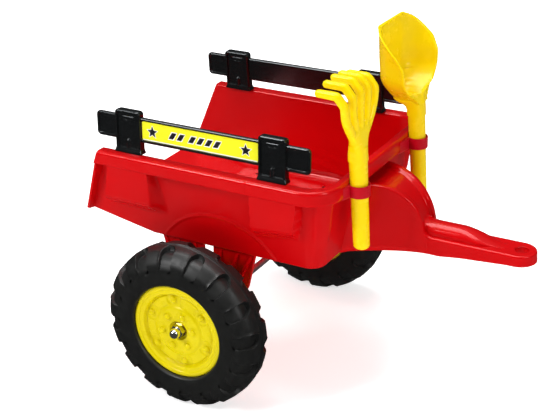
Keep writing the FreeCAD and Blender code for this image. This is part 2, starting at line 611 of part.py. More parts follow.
def make_shovel():
    """Hand shovel on the left, its square-ended scoop open towards the front."""
    edge = [(152.0, 370.0), (217.0, 370.0), (217.0, 447.0), (208.0, 464.0), (188.0, 483.0),
            (171.0, SCOOP_TOP), (152.0, SCOOP_TOP)]
    mouth = prism_xz(edge, TOOL_Y - 90.0, TOOL_Y + 90.0, [0.0, 0.0, 20.0, 20.0, 30.0, 0.0, 0.0])
    shell = scoop_block(0.0).cut(scoop_block(SCOOP_WALL)).common(mouth)
    neck_x = TOOL_X - 3.0
    neck = Part.makeCone(HANDLE_R[1] - 0.6, 10.0, 22.0, V(neck_x, TOOL_Y, NECK_Z - 4.0), V(0, 0, 1))
    throat = prism_xz([(neck_x - 22.0, 386.0), (neck_x, NECK_Z), (neck_x, 394.0), (neck_x - 22.0, 394.0)],
                      TOOL_Y - 9.0, TOOL_Y + 9.0)
    return fused([handle(TOOL_Y, SHOVEL_LEAN), neck, throat, shell])


# ---------------------------------------------------------------- export
def save(name, shape):
    shape = shape.copy()
    shape.translate(V(-MID_LENGTH_X, 0, 0))
    shape.exportStep(os.path.join("parts", name + ".step"))
    size = shape.optimalBoundingBox(False, False)
    state = (name, len(shape.Solids), shape.isValid(), shape.Volume / 1000.0)
    extent = (size.XMin, size.XMax, size.YMin, size.YMax, size.ZMin, size.ZMax)
    print("%-22s solids %d valid %s volume %.1f cm3" % state, end="  ")
    print("x %.1f..%.1f y %.1f..%.1f z %.1f..%.1f" % extent)


def save_pair(name, left_shape):
    save(name + "_left", left_shape)
    save(name + "_right", mirrored(left_shape))


os.makedirs("parts", exist_ok=True)

nut_y = WHEEL_Y + HUB_WELL + SIDE_PLAY + WASHER_THICK
save("tub", make_tub())
save("drawbar", make_drawbar())
save("drawbar_screws", make_screws(FOOT_SCREWS, FLOOR_Z - FOOT_THICK))
save_pair("axle_bracket", make_bracket())
save("bracket_screws", make_screws(BRACKET_SCREWS, FLOOR_Z - BRACKET_LIP))
save("axle", make_axle())
save_pair("tyre", make_tyre())
save_pair("wheel_disc", make_disc())
save_pair("wheel_back", make_wheel_back())
save_pair("wheel_bush", make_bush())
save_pair("inner_washer", make_washer(BOSS_Y[1], 12.0))
save_pair("outer_washer", make_washer(nut_y - WASHER_THICK, 10.0))
save_pair("cap_nut", make_cap_nut(nut_y))
save_pair("rear_post", make_post(POST_X[0]))
save_pair("front_post", make_post(POST_X[1]))
save_pair("side_board", make_board())
save_pair("side_label", make_label())
save_pair("tool_ring", make_ring())
save("rake", make_rake())
save("shovel", make_shovel())
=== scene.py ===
import math

import bmesh
import bpy
from mathutils import Matrix, Vector, noise


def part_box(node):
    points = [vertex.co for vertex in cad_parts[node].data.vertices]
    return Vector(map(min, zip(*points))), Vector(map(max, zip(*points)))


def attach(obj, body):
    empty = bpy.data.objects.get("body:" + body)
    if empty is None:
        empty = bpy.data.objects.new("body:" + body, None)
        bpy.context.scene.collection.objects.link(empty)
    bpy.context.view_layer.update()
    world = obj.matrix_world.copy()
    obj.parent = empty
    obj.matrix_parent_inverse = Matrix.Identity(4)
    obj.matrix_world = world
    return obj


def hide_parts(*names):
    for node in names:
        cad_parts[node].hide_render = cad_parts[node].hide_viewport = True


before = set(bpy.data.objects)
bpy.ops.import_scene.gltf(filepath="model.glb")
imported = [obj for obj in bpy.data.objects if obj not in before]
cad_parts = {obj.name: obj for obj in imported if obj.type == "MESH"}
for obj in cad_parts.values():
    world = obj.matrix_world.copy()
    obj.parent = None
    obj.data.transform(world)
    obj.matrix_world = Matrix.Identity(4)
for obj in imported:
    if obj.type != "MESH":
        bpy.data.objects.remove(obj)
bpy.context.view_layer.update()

# Toy trailer for a pedal tractor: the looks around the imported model.
# Shapes are drawn in millimetres, with x measured from the axle and z from the floor, and are
# turned into the frame's metres when their meshes are made.

MM = 0.001
AXLE_X = sum(corner.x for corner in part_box("axle")) / 2.0


def span(node):
    """A node's box as three (low, high) pairs in this script's millimetres."""
    low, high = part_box(node)
    return [((a - shift) / MM, (b - shift) / MM) for a, b, shift in zip(low, high, (AXLE_X, 0.0, 0.0))]


# ---------------------------------------------------------------- sizes
(REAR_FLOOR_X, RIM_FRONT), (_, RIM_HALF), (FLOOR_Z, RIM_Z) = span("tub")
WALL = 3.0
FILLET_R = 7.0                      # between the floor and the walls, inside
LIP_ROUND, INNER_ROUND = 5.0, 4.0   # the rim's outer and inner edge
EDGE_R = 3.0                        # lower edge of the tub, outside
TUB_TOP_HALF = RIM_HALF - 15.5      # outside of the side wall at the rim
TUB_FLOOR_HALF = TUB_TOP_HALF - 13.0
TUB_TOP_FRONT = RIM_FRONT - 11.0    # outside of the front wall at the rim
TUB_FLOOR_FRONT = TUB_TOP_FRONT - 16.0
TUB_CORNER = 34.0                   # at the rim
TUB_FLOOR_CORNER = 22.0
RIM_CORNER = 44.0
REAR_FLOOR_Z = FLOOR_Z + 21.0       # the floor rises to this height at its rear edge
FLOOR_KINK_X = -85.0                # where the floor starts to rise
REAR_TOP_X = REAR_FLOOR_X + 40.0    # rear edge of the wall at the rim
LIP_DEPTH = 20.0
ARCH_X, ARCH_Z, ARCH_R = 22.0, 160.0, 106.0

WHEEL_R = span("tyre_left")[2][1] / 2.0
AXLE_Z = WHEEL_R
WHEEL_Y = sum(span("tyre_left")[1]) / 2.0
HUB_R = 70.0                        # where the tyre meets the wheel discs
LUGS = 16

BAR_TIP_X = span("drawbar")[0][1]
HITCH_TOP = span("drawbar")[2][1]
BAR_HALF = 24.0
BAR_TOP_Z = 240.0
HITCH_R = 68.0
HITCH_FRONT = 277.0
EYE_X = BAR_TIP_X - 21.0
EYE_R = 9.5
CROWN = 16.0                        # height of the tow bar's rib over its plate
BOSS_WALL, BOSS_DEEP = 3.0, 13.0    # collar under the eye
SHEET = 3.2

POST_X = [sum(span(node)[0]) / 2.0 for node in ("rear_post_left", "front_post_left")]
POST_W = 41.0
POST_TOP = RIM_Z + 60.5
POST_Y = (140.4, 152.8)
BOARD_X = span("side_board_left")[0]
BOARD_Z = (RIM_Z + 17.0, RIM_Z + 52.5)
BOARD_Y = (143.4, 149.8)
BOARD_LEAN = math.radians(3.0)
BOARD_BORDER = 4.0                  # flat edge round each sunk panel

TOOL_X, TOOL_Y = RIM_FRONT + 10.8, 94.0
RAKE_LEAN, SHOVEL_LEAN = math.radians(2.6), math.radians(3.4)
HANDLE_LOW = span("rake")[2][0]
HANDLE_R = (11.1, 12.3)             # at the lower end and at the neck
NECK_Z = 376.0
END_ROUND = 6.0                     # at a handle's lower end
NEST_R = 13.2                       # hollow in the rim's lip behind each handle
RING_BORE_R, RING_OUTER_R = 12.8, 14.8
RING_Z = (RIM_Z - 22.0, RIM_Z - 5.5)
SCOOP_TOP = span("shovel")[2][1]


# ---------------------------------------------------------------- small helpers
def mix(a, b, t):
    return a + (b - a) * t


def ramp(start, end, value):
    """0 at start, 1 at end, eased at both; start may be the larger."""
    t = min(1.0, max(0.0, (value - start) / (end - start)))
    return t * t * (3.0 - 2.0 * t)


def facet(start, end, value):
    """0 at start, 1 at end, straight between."""
    return min(1.0, max(0.0, (value - start) / (end - start)))


def along(points, value):
    """Height of a polyline of (place, height) points at a place."""
    if value <= points[0][0]:
        return points[0][1]
    for (a, low), (b, high) in zip(points, points[1:]):
        if value <= b:
            return mix(low, high, (value - a) / (b - a))
    return points[-1][1]


def softened(points, value, reach):
    """The same polyline with its corners rounded over a reach."""
    shifts = (-1.0, -0.5, 0.0, 0.5, 1.0)
    return sum(along(points, value + reach * shift) for shift in shifts) / len(shifts)


def steps(start, end, size):
    """Evenly spaced places from start to end, both included."""
    count = max(1, round(abs(end - start) / size))
    return [mix(start, end, i / count) for i in range(count + 1)]


def merged(*lists, apart=0.25):
    """Sorted places from several lists, dropping those that nearly coincide."""
    places = sorted(value for group in lists for value in group)
    kept = [places[0]]
    for value in places[1:]:
        if value - kept[-1] > apart:
            kept.append(value)
    return kept


def around(place, reach=1.2):
    """Extra places on both sides of an edge."""
    return [place - reach, place - reach / 3.0, place + reach / 3.0, place + reach]


def turned(*degrees):
    """Cosine and sine of each angle, for rounded edges and ends."""
    return [(math.cos(math.radians(a)), math.sin(math.radians(a))) for a in degrees]


def full_turn(count):
    """Angles evenly spaced round a circle."""
    return [2.0 * math.pi * k / count for k in range(count)]


def mirrored(point):
    return (point[0], -point[1], point[2])


def add_object(name, data):
    made = bpy.data.objects.new(name, data)
    bpy.context.scene.collection.objects.link(made)
    return made


class Shape:
    """Points in millimetres and faces, from which one piece's mesh is made."""

    def __init__(self):
        self.points = []
        self.faces = []

    def grid(self, rows, loop_rows=False, loop_columns=False):
        """Quads between rows of points of equal length."""
        start, wide, high = len(self.points), len(rows[0]), len(rows)
        for row in rows:
            self.points.extend(row)
        for i in range(high if loop_rows else high - 1):
            for j in range(wide if loop_columns else wide - 1):
                below, above = start + i * wide, start + (i + 1) % high * wide
                after = (j + 1) % wide
                self.faces.append((below + j, below + after, above + after, above + j))

    def polygon(self, points):
        start = len(self.points)
        self.points.extend(points)
        self.faces.append(tuple(range(start, start + len(points))))

    def tube(self, rows):
        """Closed body: rings of points from one end to the other, both ends capped."""
        self.grid(rows, loop_columns=True)
        self.polygon(rows[0])
        self.polygon(rows[-1])

    def mesh(self, name, flip=False):
        turn = mirrored if flip else tuple
        mesh = bpy.data.meshes.new(name)
        metres = [(turn(p)[0] * MM + AXLE_X, turn(p)[1] * MM, turn(p)[2] * MM) for p in self.points]
        mesh.from_pydata(metres, [], self.faces)
        return mesh


def make_piece(name, shape, body, material, replaces=(), flip=False, sharp=38.0, weld=0.02):
    """Welds, turns outwards and shades a shape's mesh, and hangs it on its body."""
    mesh = shape.mesh(name, flip)
    work = bmesh.new()
    work.from_mesh(mesh)
    if weld:
        bmesh.ops.remove_doubles(work, verts=work.verts, dist=weld * MM)
    bmesh.ops.dissolve_degenerate(work, dist=0.001 * MM, edges=work.edges)
    bmesh.ops.recalc_face_normals(work, faces=work.faces)
    work.to_mesh(mesh)
    work.free()
    mesh.shade_smooth()
    mesh.set_sharp_from_angle(angle=math.radians(sharp))
    piece = add_object(name, mesh)
    mesh.materials.append(material)
    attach(piece, body)
    if replaces:
        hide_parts(*replaces)
    return piece


def add_modifier(piece, kind, **settings):
    modifier = piece.modifiers.new(kind.title(), kind)
    for key, value in settings.items():
        setattr(modifier, key, value)
    return modifier


# ---------------------------------------------------------------- materials
RANGE_INPUTS = ("From Min", "From Max", "To Min", "To Max")
WHITE = (1.0, 1.0, 1.0, 1.0)


def set_inputs(node, values):
    for key, value in values.items():
        node.inputs[key].default_value = value


class Graph:
    """Short way to build a material's nodes."""

    def __init__(self, name):
        self.material = bpy.data.materials.new(name)
        self.material.use_nodes = True
        self.tree = self.material.node_tree
        self.shader = self.tree.nodes["Principled BSDF"]
        self.place = self.node("ShaderNodeTexCoord").outputs["Object"]

    def node(self, kind, **settings):
        made = self.tree.nodes.new(kind)
        for key, value in settings.items():
            setattr(made, key, value)
        return made

    def link(self, source, target):
        self.tree.links.new(source, target)

    def noise(self, scale, detail=3.0, rough=0.5, stretch=None):
        made = self.node("ShaderNodeTexNoise")
        set_inputs(made, {"Scale": scale, "Detail": detail, "Roughness": rough})
        place = self.place
        if stretch:
            mapping = self.node("ShaderNodeMapping")
            mapping.inputs["Scale"].default_value = stretch
            self.link(place, mapping.inputs["Vector"])
            place = mapping.outputs["Vector"]
        self.link(place, made.inputs["Vector"])
        return made.outputs["Fac"]

    def remap(self, value, low, high, from_low=0.3, from_high=0.7):
        made = self.node("ShaderNodeMapRange")
        self.link(value, made.inputs["Value"])
        set_inputs(made, dict(zip(RANGE_INPUTS, (from_low, from_high, low, high))))
        return made.outputs["Result"]

    def blend(self, factor, first, second):
        made = self.node("ShaderNodeMix", data_type="RGBA")
        self.link(factor, made.inputs["Factor"])
        for key, source in ((6, first), (7, second)):
            if isinstance(source, tuple):
                made.inputs[key].default_value = (*source, 1.0)
            else:
                self.link(source, made.inputs[key])
        return made.outputs[2]

    def bump(self, height, distance, strength=1.0, under=None):
        made = self.node("ShaderNodeBump")
        set_inputs(made, {"Strength": strength, "Distance": distance})
        self.link(height, made.inputs["Height"])
        if under:
            self.link(under, made.inputs["Normal"])
        return made.outputs["Normal"]

    def edges(self, low, high):
        """Mask that rises on outward edges of the mesh."""
        point = self.node("ShaderNodeNewGeometry").outputs["Pointiness"]
        return self.remap(point, 0.0, 1.0, low, high)


def moulded(name, colour, dark, highlight_wear_colour, rough, coat=0.0, grain=0.00003, edge_strength=0.35, grain_scale=900.0):
    """Moulded plastic: soft colour drift, faint flow ripple, fine grain, and paler outward edges in patches:
    painted edge highlight together with wear.
    """
    g = Graph(name)
    drift = g.remap(g.noise(9.0, 4.0), 0.0, 1.0)
    body = g.blend(drift, colour, dark)
    flow = g.remap(g.noise(26.0, 2.0, 0.4, (1.0, 1.0, 3.0)), 0.0, 0.35)
    body = g.blend(flow, body, tuple(c * 0.93 for c in colour))
    # Painted edge highlight with wear: outward edges are blended in patches towards a paler colour.
    edge = g.edges(0.52, 0.62)
    highlight_wear_edges = g.node("ShaderNodeMath", operation="MULTIPLY")
    g.link(edge, highlight_wear_edges.inputs[0])
    g.link(g.remap(g.noise(140.0, 5.0, 0.7), 0.0, edge_strength, 0.45, 0.75), highlight_wear_edges.inputs[1])
    g.link(g.blend(highlight_wear_edges.outputs[0], body, highlight_wear_colour), g.shader.inputs["Base Color"])
    smudge = g.remap(g.noise(34.0, 6.0, 0.65), rough * 0.88, rough * 1.18)
    g.link(smudge, g.shader.inputs["Roughness"])
    ripple = g.bump(g.noise(38.0, 2.0, 0.4), 0.00025, 0.35)
    fine = g.bump(g.noise(grain_scale, 2.0, 0.5), grain, 0.6, ripple)
    g.link(fine, g.shader.inputs["Normal"])
    tint = (*(mix(1.0, c / max(colour), 0.75) for c in colour), 1.0)
    set_inputs(g.shader, {"Specular IOR Level": 0.5, "Specular Tint": tint, "IOR": 1.49,
                          "Coat Weight": coat, "Coat Roughness": 0.12})
    return g.material


def metal(name, colour, dull, rough, streak=(1.0, 1.0, 1.0), depth=0.00002):
    """Plated metal with faint polishing streaks and duller patches."""
    g = Graph(name)
    patches = g.remap(g.noise(60.0, 5.0, 0.6), 0.0, 1.0, 0.4, 0.75)
    g.link(g.blend(patches, colour, dull), g.shader.inputs["Base Color"])
    lines = g.noise(520.0, 2.0, 0.5, streak)
    g.link(g.remap(lines, rough * 0.7, rough * 1.4), g.shader.inputs["Roughness"])
    g.link(g.bump(lines, depth, 0.5), g.shader.inputs["Normal"])
    g.shader.inputs["Metallic"].default_value = 1.0
    return g.material


def tyre_material():
    """Blow-moulded black tyre: satin, with a mottled sheen and paler outward edges, a painted edge highlight
    with rubbing.
    """
    g = Graph("tyre_plastic")
    drift = g.remap(g.noise(14.0, 4.0), 0.0, 1.0)
    body = g.blend(drift, (0.0070, 0.0072, 0.0066), (0.0045, 0.0047, 0.0045))
    mottled = g.remap(g.noise(90.0, 6.0, 0.7), 0.0, 0.6, 0.5, 0.72)
    body = g.blend(mottled, body, (0.013, 0.0135, 0.012))
    # Painted edge highlight with rubbing: outward edges are blended towards a paler black.
    highlight_wear_edges = g.edges(0.53, 0.64)
    g.link(g.blend(highlight_wear_edges, body, (0.032, 0.033, 0.031)), g.shader.inputs["Base Color"])
    g.link(g.remap(g.noise(55.0, 6.0, 0.7), 0.38, 0.56), g.shader.inputs["Roughness"])
    wavy = g.bump(g.noise(45.0, 3.0, 0.5), 0.0004, 0.4)
    g.link(g.bump(g.noise(1100.0, 2.0), 0.00004, 0.7, wavy), g.shader.inputs["Normal"])
    return g.material


# Each plastic's fourth colour is the paler one of its outward edges: painted edge highlight with wear.
RED = moulded("red_plastic", (0.56, 0.0006, 0.002), (0.51, 0.0005, 0.002), (0.75, 0.006, 0.007), 0.20, 0.25)
RING_RED = moulded("ring_plastic", (0.50, 0.002, 0.012), (0.45, 0.0018, 0.010), (0.6, 0.006, 0.012), 0.30)
BLACK = moulded("black_plastic", (0.0045, 0.0050, 0.0052), (0.0032, 0.0036, 0.0040), (0.03, 0.03, 0.03),
                0.20, 0.15)
HUB_YELLOW = moulded("hub_yellow", (0.72, 0.60, 0.0005), (0.66, 0.53, 0.0005), (0.85, 0.70, 0.006), 0.28, 0.2)
TOOL_YELLOW = moulded("tool_yellow", (0.95, 0.70, 0.001), (0.92, 0.63, 0.001), (1.0, 0.76, 0.006), 0.26, 0.2)
NYLON = moulded("bush_nylon", (0.62, 0.58, 0.48), (0.55, 0.52, 0.44), (0.7, 0.68, 0.6), 0.4)
LABEL_YELLOW = moulded("label", (0.82, 0.80, 0.01), (0.79, 0.77, 0.01), (0.9, 0.9, 0.4), 0.32, 0.3, 0.00001)
LABEL_WHITE = moulded("label_white", (0.85, 0.86, 0.82), (0.8, 0.8, 0.78), (0.9, 0.9, 0.9), 0.35,
                      0.3, 0.00001)
LABEL_BLACK = moulded("label_black", (0.006, 0.006, 0.007), (0.008, 0.008, 0.008), (0.05, 0.05, 0.05), 0.32,
                      0.3, 0.00001)
TYRE = tyre_material()
ZINC = metal("zinc_steel", (0.80, 0.86, 0.90), (0.62, 0.68, 0.72), 0.50, (1.0, 0.05, 1.0))
GOLD_ZINC = metal("yellow_zinc", (0.62, 0.40, 0.10), (0.50, 0.33, 0.10), 0.28)
CHROME = metal("chrome", (0.86, 0.86, 0.87), (0.78, 0.79, 0.80), 0.06, depth=0.000004)


def repaint():
    """Better materials for the CAD nodes that stay."""
    kept = {"drawbar_screws": ZINC, "bracket_screws": ZINC, "axle": ZINC}
    for side in ("left", "right"):
        kept.update({f"axle_bracket_{side}": RED, f"wheel_back_{side}": HUB_YELLOW,
                     f"wheel_bush_{side}": NYLON, f"inner_washer_{side}": ZINC,
                     f"outer_washer_{side}": GOLD_ZINC, f"cap_nut_{side}": CHROME})
    for node, material in kept.items():
        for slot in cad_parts[node].material_slots:
            slot.material = material


# ---------------------------------------------------------------- tub
def rear_x(z):
    """The slanted rear edge of the side wall."""
    return REAR_TOP_X - (REAR_TOP_X - REAR_FLOOR_X) * (RIM_Z - z) / (RIM_Z - REAR_FLOOR_Z)


def floor_line(x):
    """Underside of the floor, which rises behind the axle."""
    rise = (REAR_FLOOR_Z - FLOOR_Z) / (FLOOR_KINK_X - REAR_FLOOR_X)
    return FLOOR_Z + rise * max(0.0, FLOOR_KINK_X - x)


def walls(z):
    """Half width and front of the wall's outside at a height."""
    t = (z - FLOOR_Z) / (RIM_Z - FLOOR_Z)
    return mix(TUB_FLOOR_HALF, TUB_TOP_HALF, t), mix(TUB_FLOOR_FRONT, TUB_TOP_FRONT, t)


def tub_stations():
    """Places along the right half of the plan, from the rear edge to the middle of the front."""
    last = TUB_TOP_FRONT - TUB_CORNER
    fine = [REAR_TOP_X + d for d in (0.0, 0.7, 1.5, 2.5, 3.4, 4.2, 5.0, 5.8, 6.8, 8.0)]
    seam = [84.0, 84.5, 85.0, 85.5, 86.0]
    places = merged(fine, steps(REAR_TOP_X + 9.5, last, 1.6), seam, apart=0.4)
    side = [("side", (x - REAR_TOP_X) / (last - REAR_TOP_X)) for x in places if x < last - 0.5]
    corner = [("corner", i / 30.0) for i in range(31)]
    nest = (1.0 - (TOOL_Y + 14.0) / 122.0, 1.0 - (TOOL_Y - 16.0) / 116.0)
    front = [("front", t) for t in merged(steps(0.035, 1.0, 0.036), steps(*nest, 0.009), apart=0.005)]
    return side + corner + front


STATIONS = tub_stations()


def plan_point(station, half, front, corner, z):
    """Point on a plan line of the right half, with its outward direction."""
    kind, t = station
    if kind == "side":
        return Vector((mix(rear_x(z), front - corner, t), -half, z)), Vector((0.0, -1.0, 0.0))
    if kind == "corner":
        a = t * math.pi / 2.0
        out = Vector((math.sin(a), -math.cos(a), 0.0))
        return Vector((front - corner, corner - half, z)) + out * corner, out
    return Vector((front, mix(corner - half, 0.0, t), z)), Vector((1.0, 0.0, 0.0))


def arch_recess(x, z):
    """How far the wall steps in under the wheel arch."""
    inside = ARCH_R - math.hypot(x - ARCH_X, z - ARCH_Z)
    return 2.4 * ramp(0.5, 3.4, inside) * ramp(-52.0, -22.0, x)


def arch_bead(x, z):
    away = abs(math.hypot(x - ARCH_X, z - ARCH_Z) - ARCH_R)
    return 1.8 * math.sqrt(max(0.0, 1.0 - (away / 2.4) ** 2)) * ramp(-75.0, -50.0, x)


def leaf_recess(x, z):
    """Shallow leaf-shaped recess between the arch and the rim, ahead of its rounded rear end."""
    top = RIM_Z - 29.0 - 35.0 * max(0.0, (76.0 - x) / 108.0) ** 3
    above_arch = math.hypot(x - ARCH_X, z - ARCH_Z) - ARCH_R
    return 2.3 * ramp(top, top - 2.6, z) * ramp(2.0, 4.0, above_arch) * ramp(-38.0, -33.0, x)


PAD_FACE = [(244.0, 120.0), (250.0, 137.0), (268.0, 159.5), (272.0, 160.6), (RIM_Z - 15.0, 163.0)]
FRONT_PAD_X = (85.0, 151.0)
REAR_PAD_X = (-142.0, -74.0)


def emerging(depth, reach=4.5):
    """A height that rises smoothly out of the wall instead of along a hard line."""
    if depth > reach:
        return depth
    return max(0.0, depth + reach) ** 2 / (4.0 * reach)


def pad_relief(x, z, half):
    """The two upright pads under the posts, with slanting undersides."""
    rear_left = REAR_PAD_X[0] - (RIM_Z - 15.0 - z) * 0.19
    rear_tip = mix(3.0, 20.0, facet(RIM_Z - 25.0, 250.0, z))
    rear = facet(rear_left - 0.6, rear_left + 1.6, x) * facet(REAR_PAD_X[1] + rear_tip, REAR_PAD_X[1], x)
    front_right = FRONT_PAD_X[1] + (z - 276.0) * 0.16
    front = facet(FRONT_PAD_X[0] - 0.6, FRONT_PAD_X[0] + 1.4, x) * facet(front_right + 2.4, front_right, x)
    lift = facet(FRONT_PAD_X[0], FRONT_PAD_X[1], x) * 6.5
    rear_out = emerging(softened(PAD_FACE, z, 2.0) - half) * rear
    front_out = emerging(softened(PAD_FACE, z - lift, 2.0) - half) * front
    return max(rear_out, front_out)


def flange_relief(x, z, half):
    """The plate that frames the open rear end, its rear edge rounded by half a millimetre in 14."""
    behind = x - rear_x(z)
    out = softened([(REAR_FLOOR_Z, 150.0), (RIM_Z - LIP_DEPTH, 163.5), (RIM_Z, 165.0)], z, 2.0)
    edge = 1.0 - 0.5 * facet(1.2, 0.0, behind) ** 2 / 14.0
    return (out - half) * facet(5.4, 3.8, behind) * edge


def corner_relief(t, z):
    """The front corner's column stands out from the channel beside the pad."""
    column = ramp(0.26, 0.40, t) * ramp(0.96, 0.84, t)
    return 4.5 * column * ramp(246.0, 276.0, z)


def outside_relief(station, point, half):
    kind, t = station
    x, _, z = point
    if kind == "side":
        sunk = max(arch_recess(x, z), leaf_recess(x, z))
        return max(pad_relief(x, z, half), flange_relief(x, z, half), arch_bead(x, z) - sunk)
    if kind == "corner":
        return corner_relief(t, z)
    return 0.0


def wall_row(level, inset, above=0.0, tuck=0.0, relief=None, keep=1.0):
    """Row of points that follows the wall: level 0 is just above the floor line and 1 the rim."""
    row = []
    for station in STATIONS:
        t = station[1] if station[0] == "side" else 1.0
        low_x = mix(rear_x(REAR_FLOOR_Z + inset), TUB_FLOOR_FRONT - TUB_CORNER, t)
        z = mix(floor_line(low_x) + inset + above, RIM_Z, level)
        half, front = walls(z)
        corner = mix(TUB_FLOOR_CORNER, TUB_CORNER, (z - FLOOR_Z) / (RIM_Z - FLOOR_Z))
        point, out = plan_point(station, half - inset - tuck, front - inset - tuck,
                                corner - inset - tuck, z)
        if relief:
            point = point + out * (keep * relief(station, point, half))
        row.append(tuple(point))
    return row


def nest_front(y):
    """How far forward the lip reaches where the tool handles lie against it."""
    off = abs(abs(y) - TOOL_Y)
    if off >= NEST_R:
        return RIM_FRONT
    return min(RIM_FRONT, TOOL_X - math.sqrt(NEST_R ** 2 - off ** 2))


def level_row(z, inset, corner=RIM_CORNER, behind=0.15):
    """Row of the rim at one height, at a distance in from the lip's outer face."""
    row = []
    share = (RIM_FRONT - TUB_TOP_FRONT + WALL) / (RIM_HALF - TUB_TOP_HALF + WALL)
    for station in STATIONS:
        point, out = plan_point(station, RIM_HALF - inset, RIM_FRONT - inset * share, corner - inset, z)
        if station[0] == "front" and inset < 6.0:
            point.x = min(point.x, nest_front(point.y) - behind * inset)
        seam = 0.25 * ramp(0.9, 0.2, abs(point.x - FRONT_PAD_X[0])) if station[0] == "side" else 0.0
        row.append(tuple(point + (out + Vector((0.0, 0.0, 1.0))) * seam))
    return row


def inner_relief(station, point, half):
    """Inside, the wheel arch shows as a low swelling with a crisp edge."""
    if station[0] != "side":
        return 0.0
    inside = ARCH_R - 17.0 - math.hypot(point.x - ARCH_X, point.z - ARCH_Z)
    return -arch_recess(point.x, point.z) * 0.4 - 1.6 * ramp(0.0, 1.8, inside)


def tub_rows():
    """Rows of the right half from the inner floor over the rim to the underside of the floor."""
    closing = turned(75.0, 60.0, 45.0, 30.0, 15.0, 0.0)
    rows = [wall_row(0.0, WALL, tuck=11.0), wall_row(0.0, WALL, tuck=FILLET_R)]
    rows += [wall_row(0.0, WALL, above=FILLET_R - FILLET_R * s, tuck=FILLET_R - FILLET_R * c)
             for c, s in closing]
    rows += [wall_row(i / 30.0, WALL, above=FILLET_R, relief=inner_relief) for i in range(1, 29)]
    inner_top = RIM_HALF - TUB_TOP_HALF + WALL     # from the lip's face in to the inner wall
    rows += [rim_blend_row(RIM_Z - INNER_ROUND + INNER_ROUND * s, inner_top + 0.6 - INNER_ROUND * (1.0 - c))
             for c, s in turned(0.0, 22.5, 45.0, 67.5, 90.0)]
    rows += [level_row(RIM_Z, inset) for inset in (11.5, 8.5, 6.2)]
    rows += [level_row(RIM_Z - LIP_ROUND + LIP_ROUND * s, LIP_ROUND - LIP_ROUND * c) for c, s in closing]
    rows += [level_row(RIM_Z - d, 0.0) for d in (8.0, 12.0, 16.0, LIP_DEPTH - 0.8)]
    rows += [level_row(RIM_Z - LIP_DEPTH, inset) for inset in (0.8, 1.8)]
    rows += [level_row(z, 2.6, behind=1.0) for z in (RIM_Z - LIP_DEPTH + 0.8, RIM_Z - WALL - 1.0)]
    high = 1.0 - (WALL + 1.5) / (RIM_Z - FLOOR_Z)
    rows += [wall_row(high * (1.0 - i / 66), 0.0, above=EDGE_R, relief=outside_relief) for i in range(67)]
    rows += [wall_row(0.0, 0.0, above=EDGE_R - EDGE_R * s, tuck=EDGE_R - EDGE_R * c,
                      relief=outside_relief, keep=c) for c, s in turned(15.0, 30.0, 45.0, 60.0, 75.0, 90.0)]
    rows.append(wall_row(0.0, 0.0, tuck=10.0))
    return rows


def rim_blend_row(z, proud):
    """Row on the rim's inner edge, where the wall's tighter corner takes over."""
    return level_row(z, proud, TUB_CORNER + RIM_HALF - TUB_TOP_HALF)


def lane(start, end):
    """Eleven points across the tub."""
    return [tuple(Vector(start).lerp(Vector(end), j / 10.0)) for j in range(11)]


def make_tub():
    shape = Shape()
    full = [row + [mirrored(p) for p in reversed(row[:-1])] for row in tub_rows()]
    shape.grid(full)
    count = sum(1 for station in STATIONS if station[0] == "side")
    for row in (full[0], full[-1]):
        lanes = [lane(row[i], row[-1 - i]) for i in range(count)]
        shape.grid(lanes)
        shape.polygon(lanes[-1] + row[count:-count][::-1])
    shape.polygon([row[0] for row in full] + lane(full[-1][0], full[-1][-1])[1:-1]
                  + [row[-1] for row in reversed(full)] + lane(full[0][-1], full[0][0])[1:-1])
    make_piece("tub_shell", shape, "chassis", RED, ["tub"], sharp=58.0)


# ---------------------------------------------------------------- drawbar
def hitch_foot_half(x):
    """Half width of the drawbar's outline at its lower edge."""
    return BAR_HALF + 73.0 * max(0.0, (285.0 - x) / 145.0) ** 1.6


def hitch_top_half(x):
    """Half width between the outer edges of the two beads."""
    return 21.0 + 27.5 * max(0.0, (280.0 - x) / 90.0) ** 1.15


def smoothed(values, passes, first, last):
    """Evens out a run of points by averaging each with its neighbours."""
    values = [Vector(v) for v in values]
    for _ in range(passes):
        fresh = list(values)
        for i in range(max(1, first), min(last, len(values) - 1)):
            fresh[i] = (values[i - 1] + values[i] * 2.0 + values[i + 1]) / 4.0
        values = fresh
    return values


def bar_low(x):
    """Underside of the drawbar."""
    return along([(300.0, FLOOR_Z), (330.0, FLOOR_Z + 4.0), (395.0, BAR_TOP_Z - 15.0)], x)


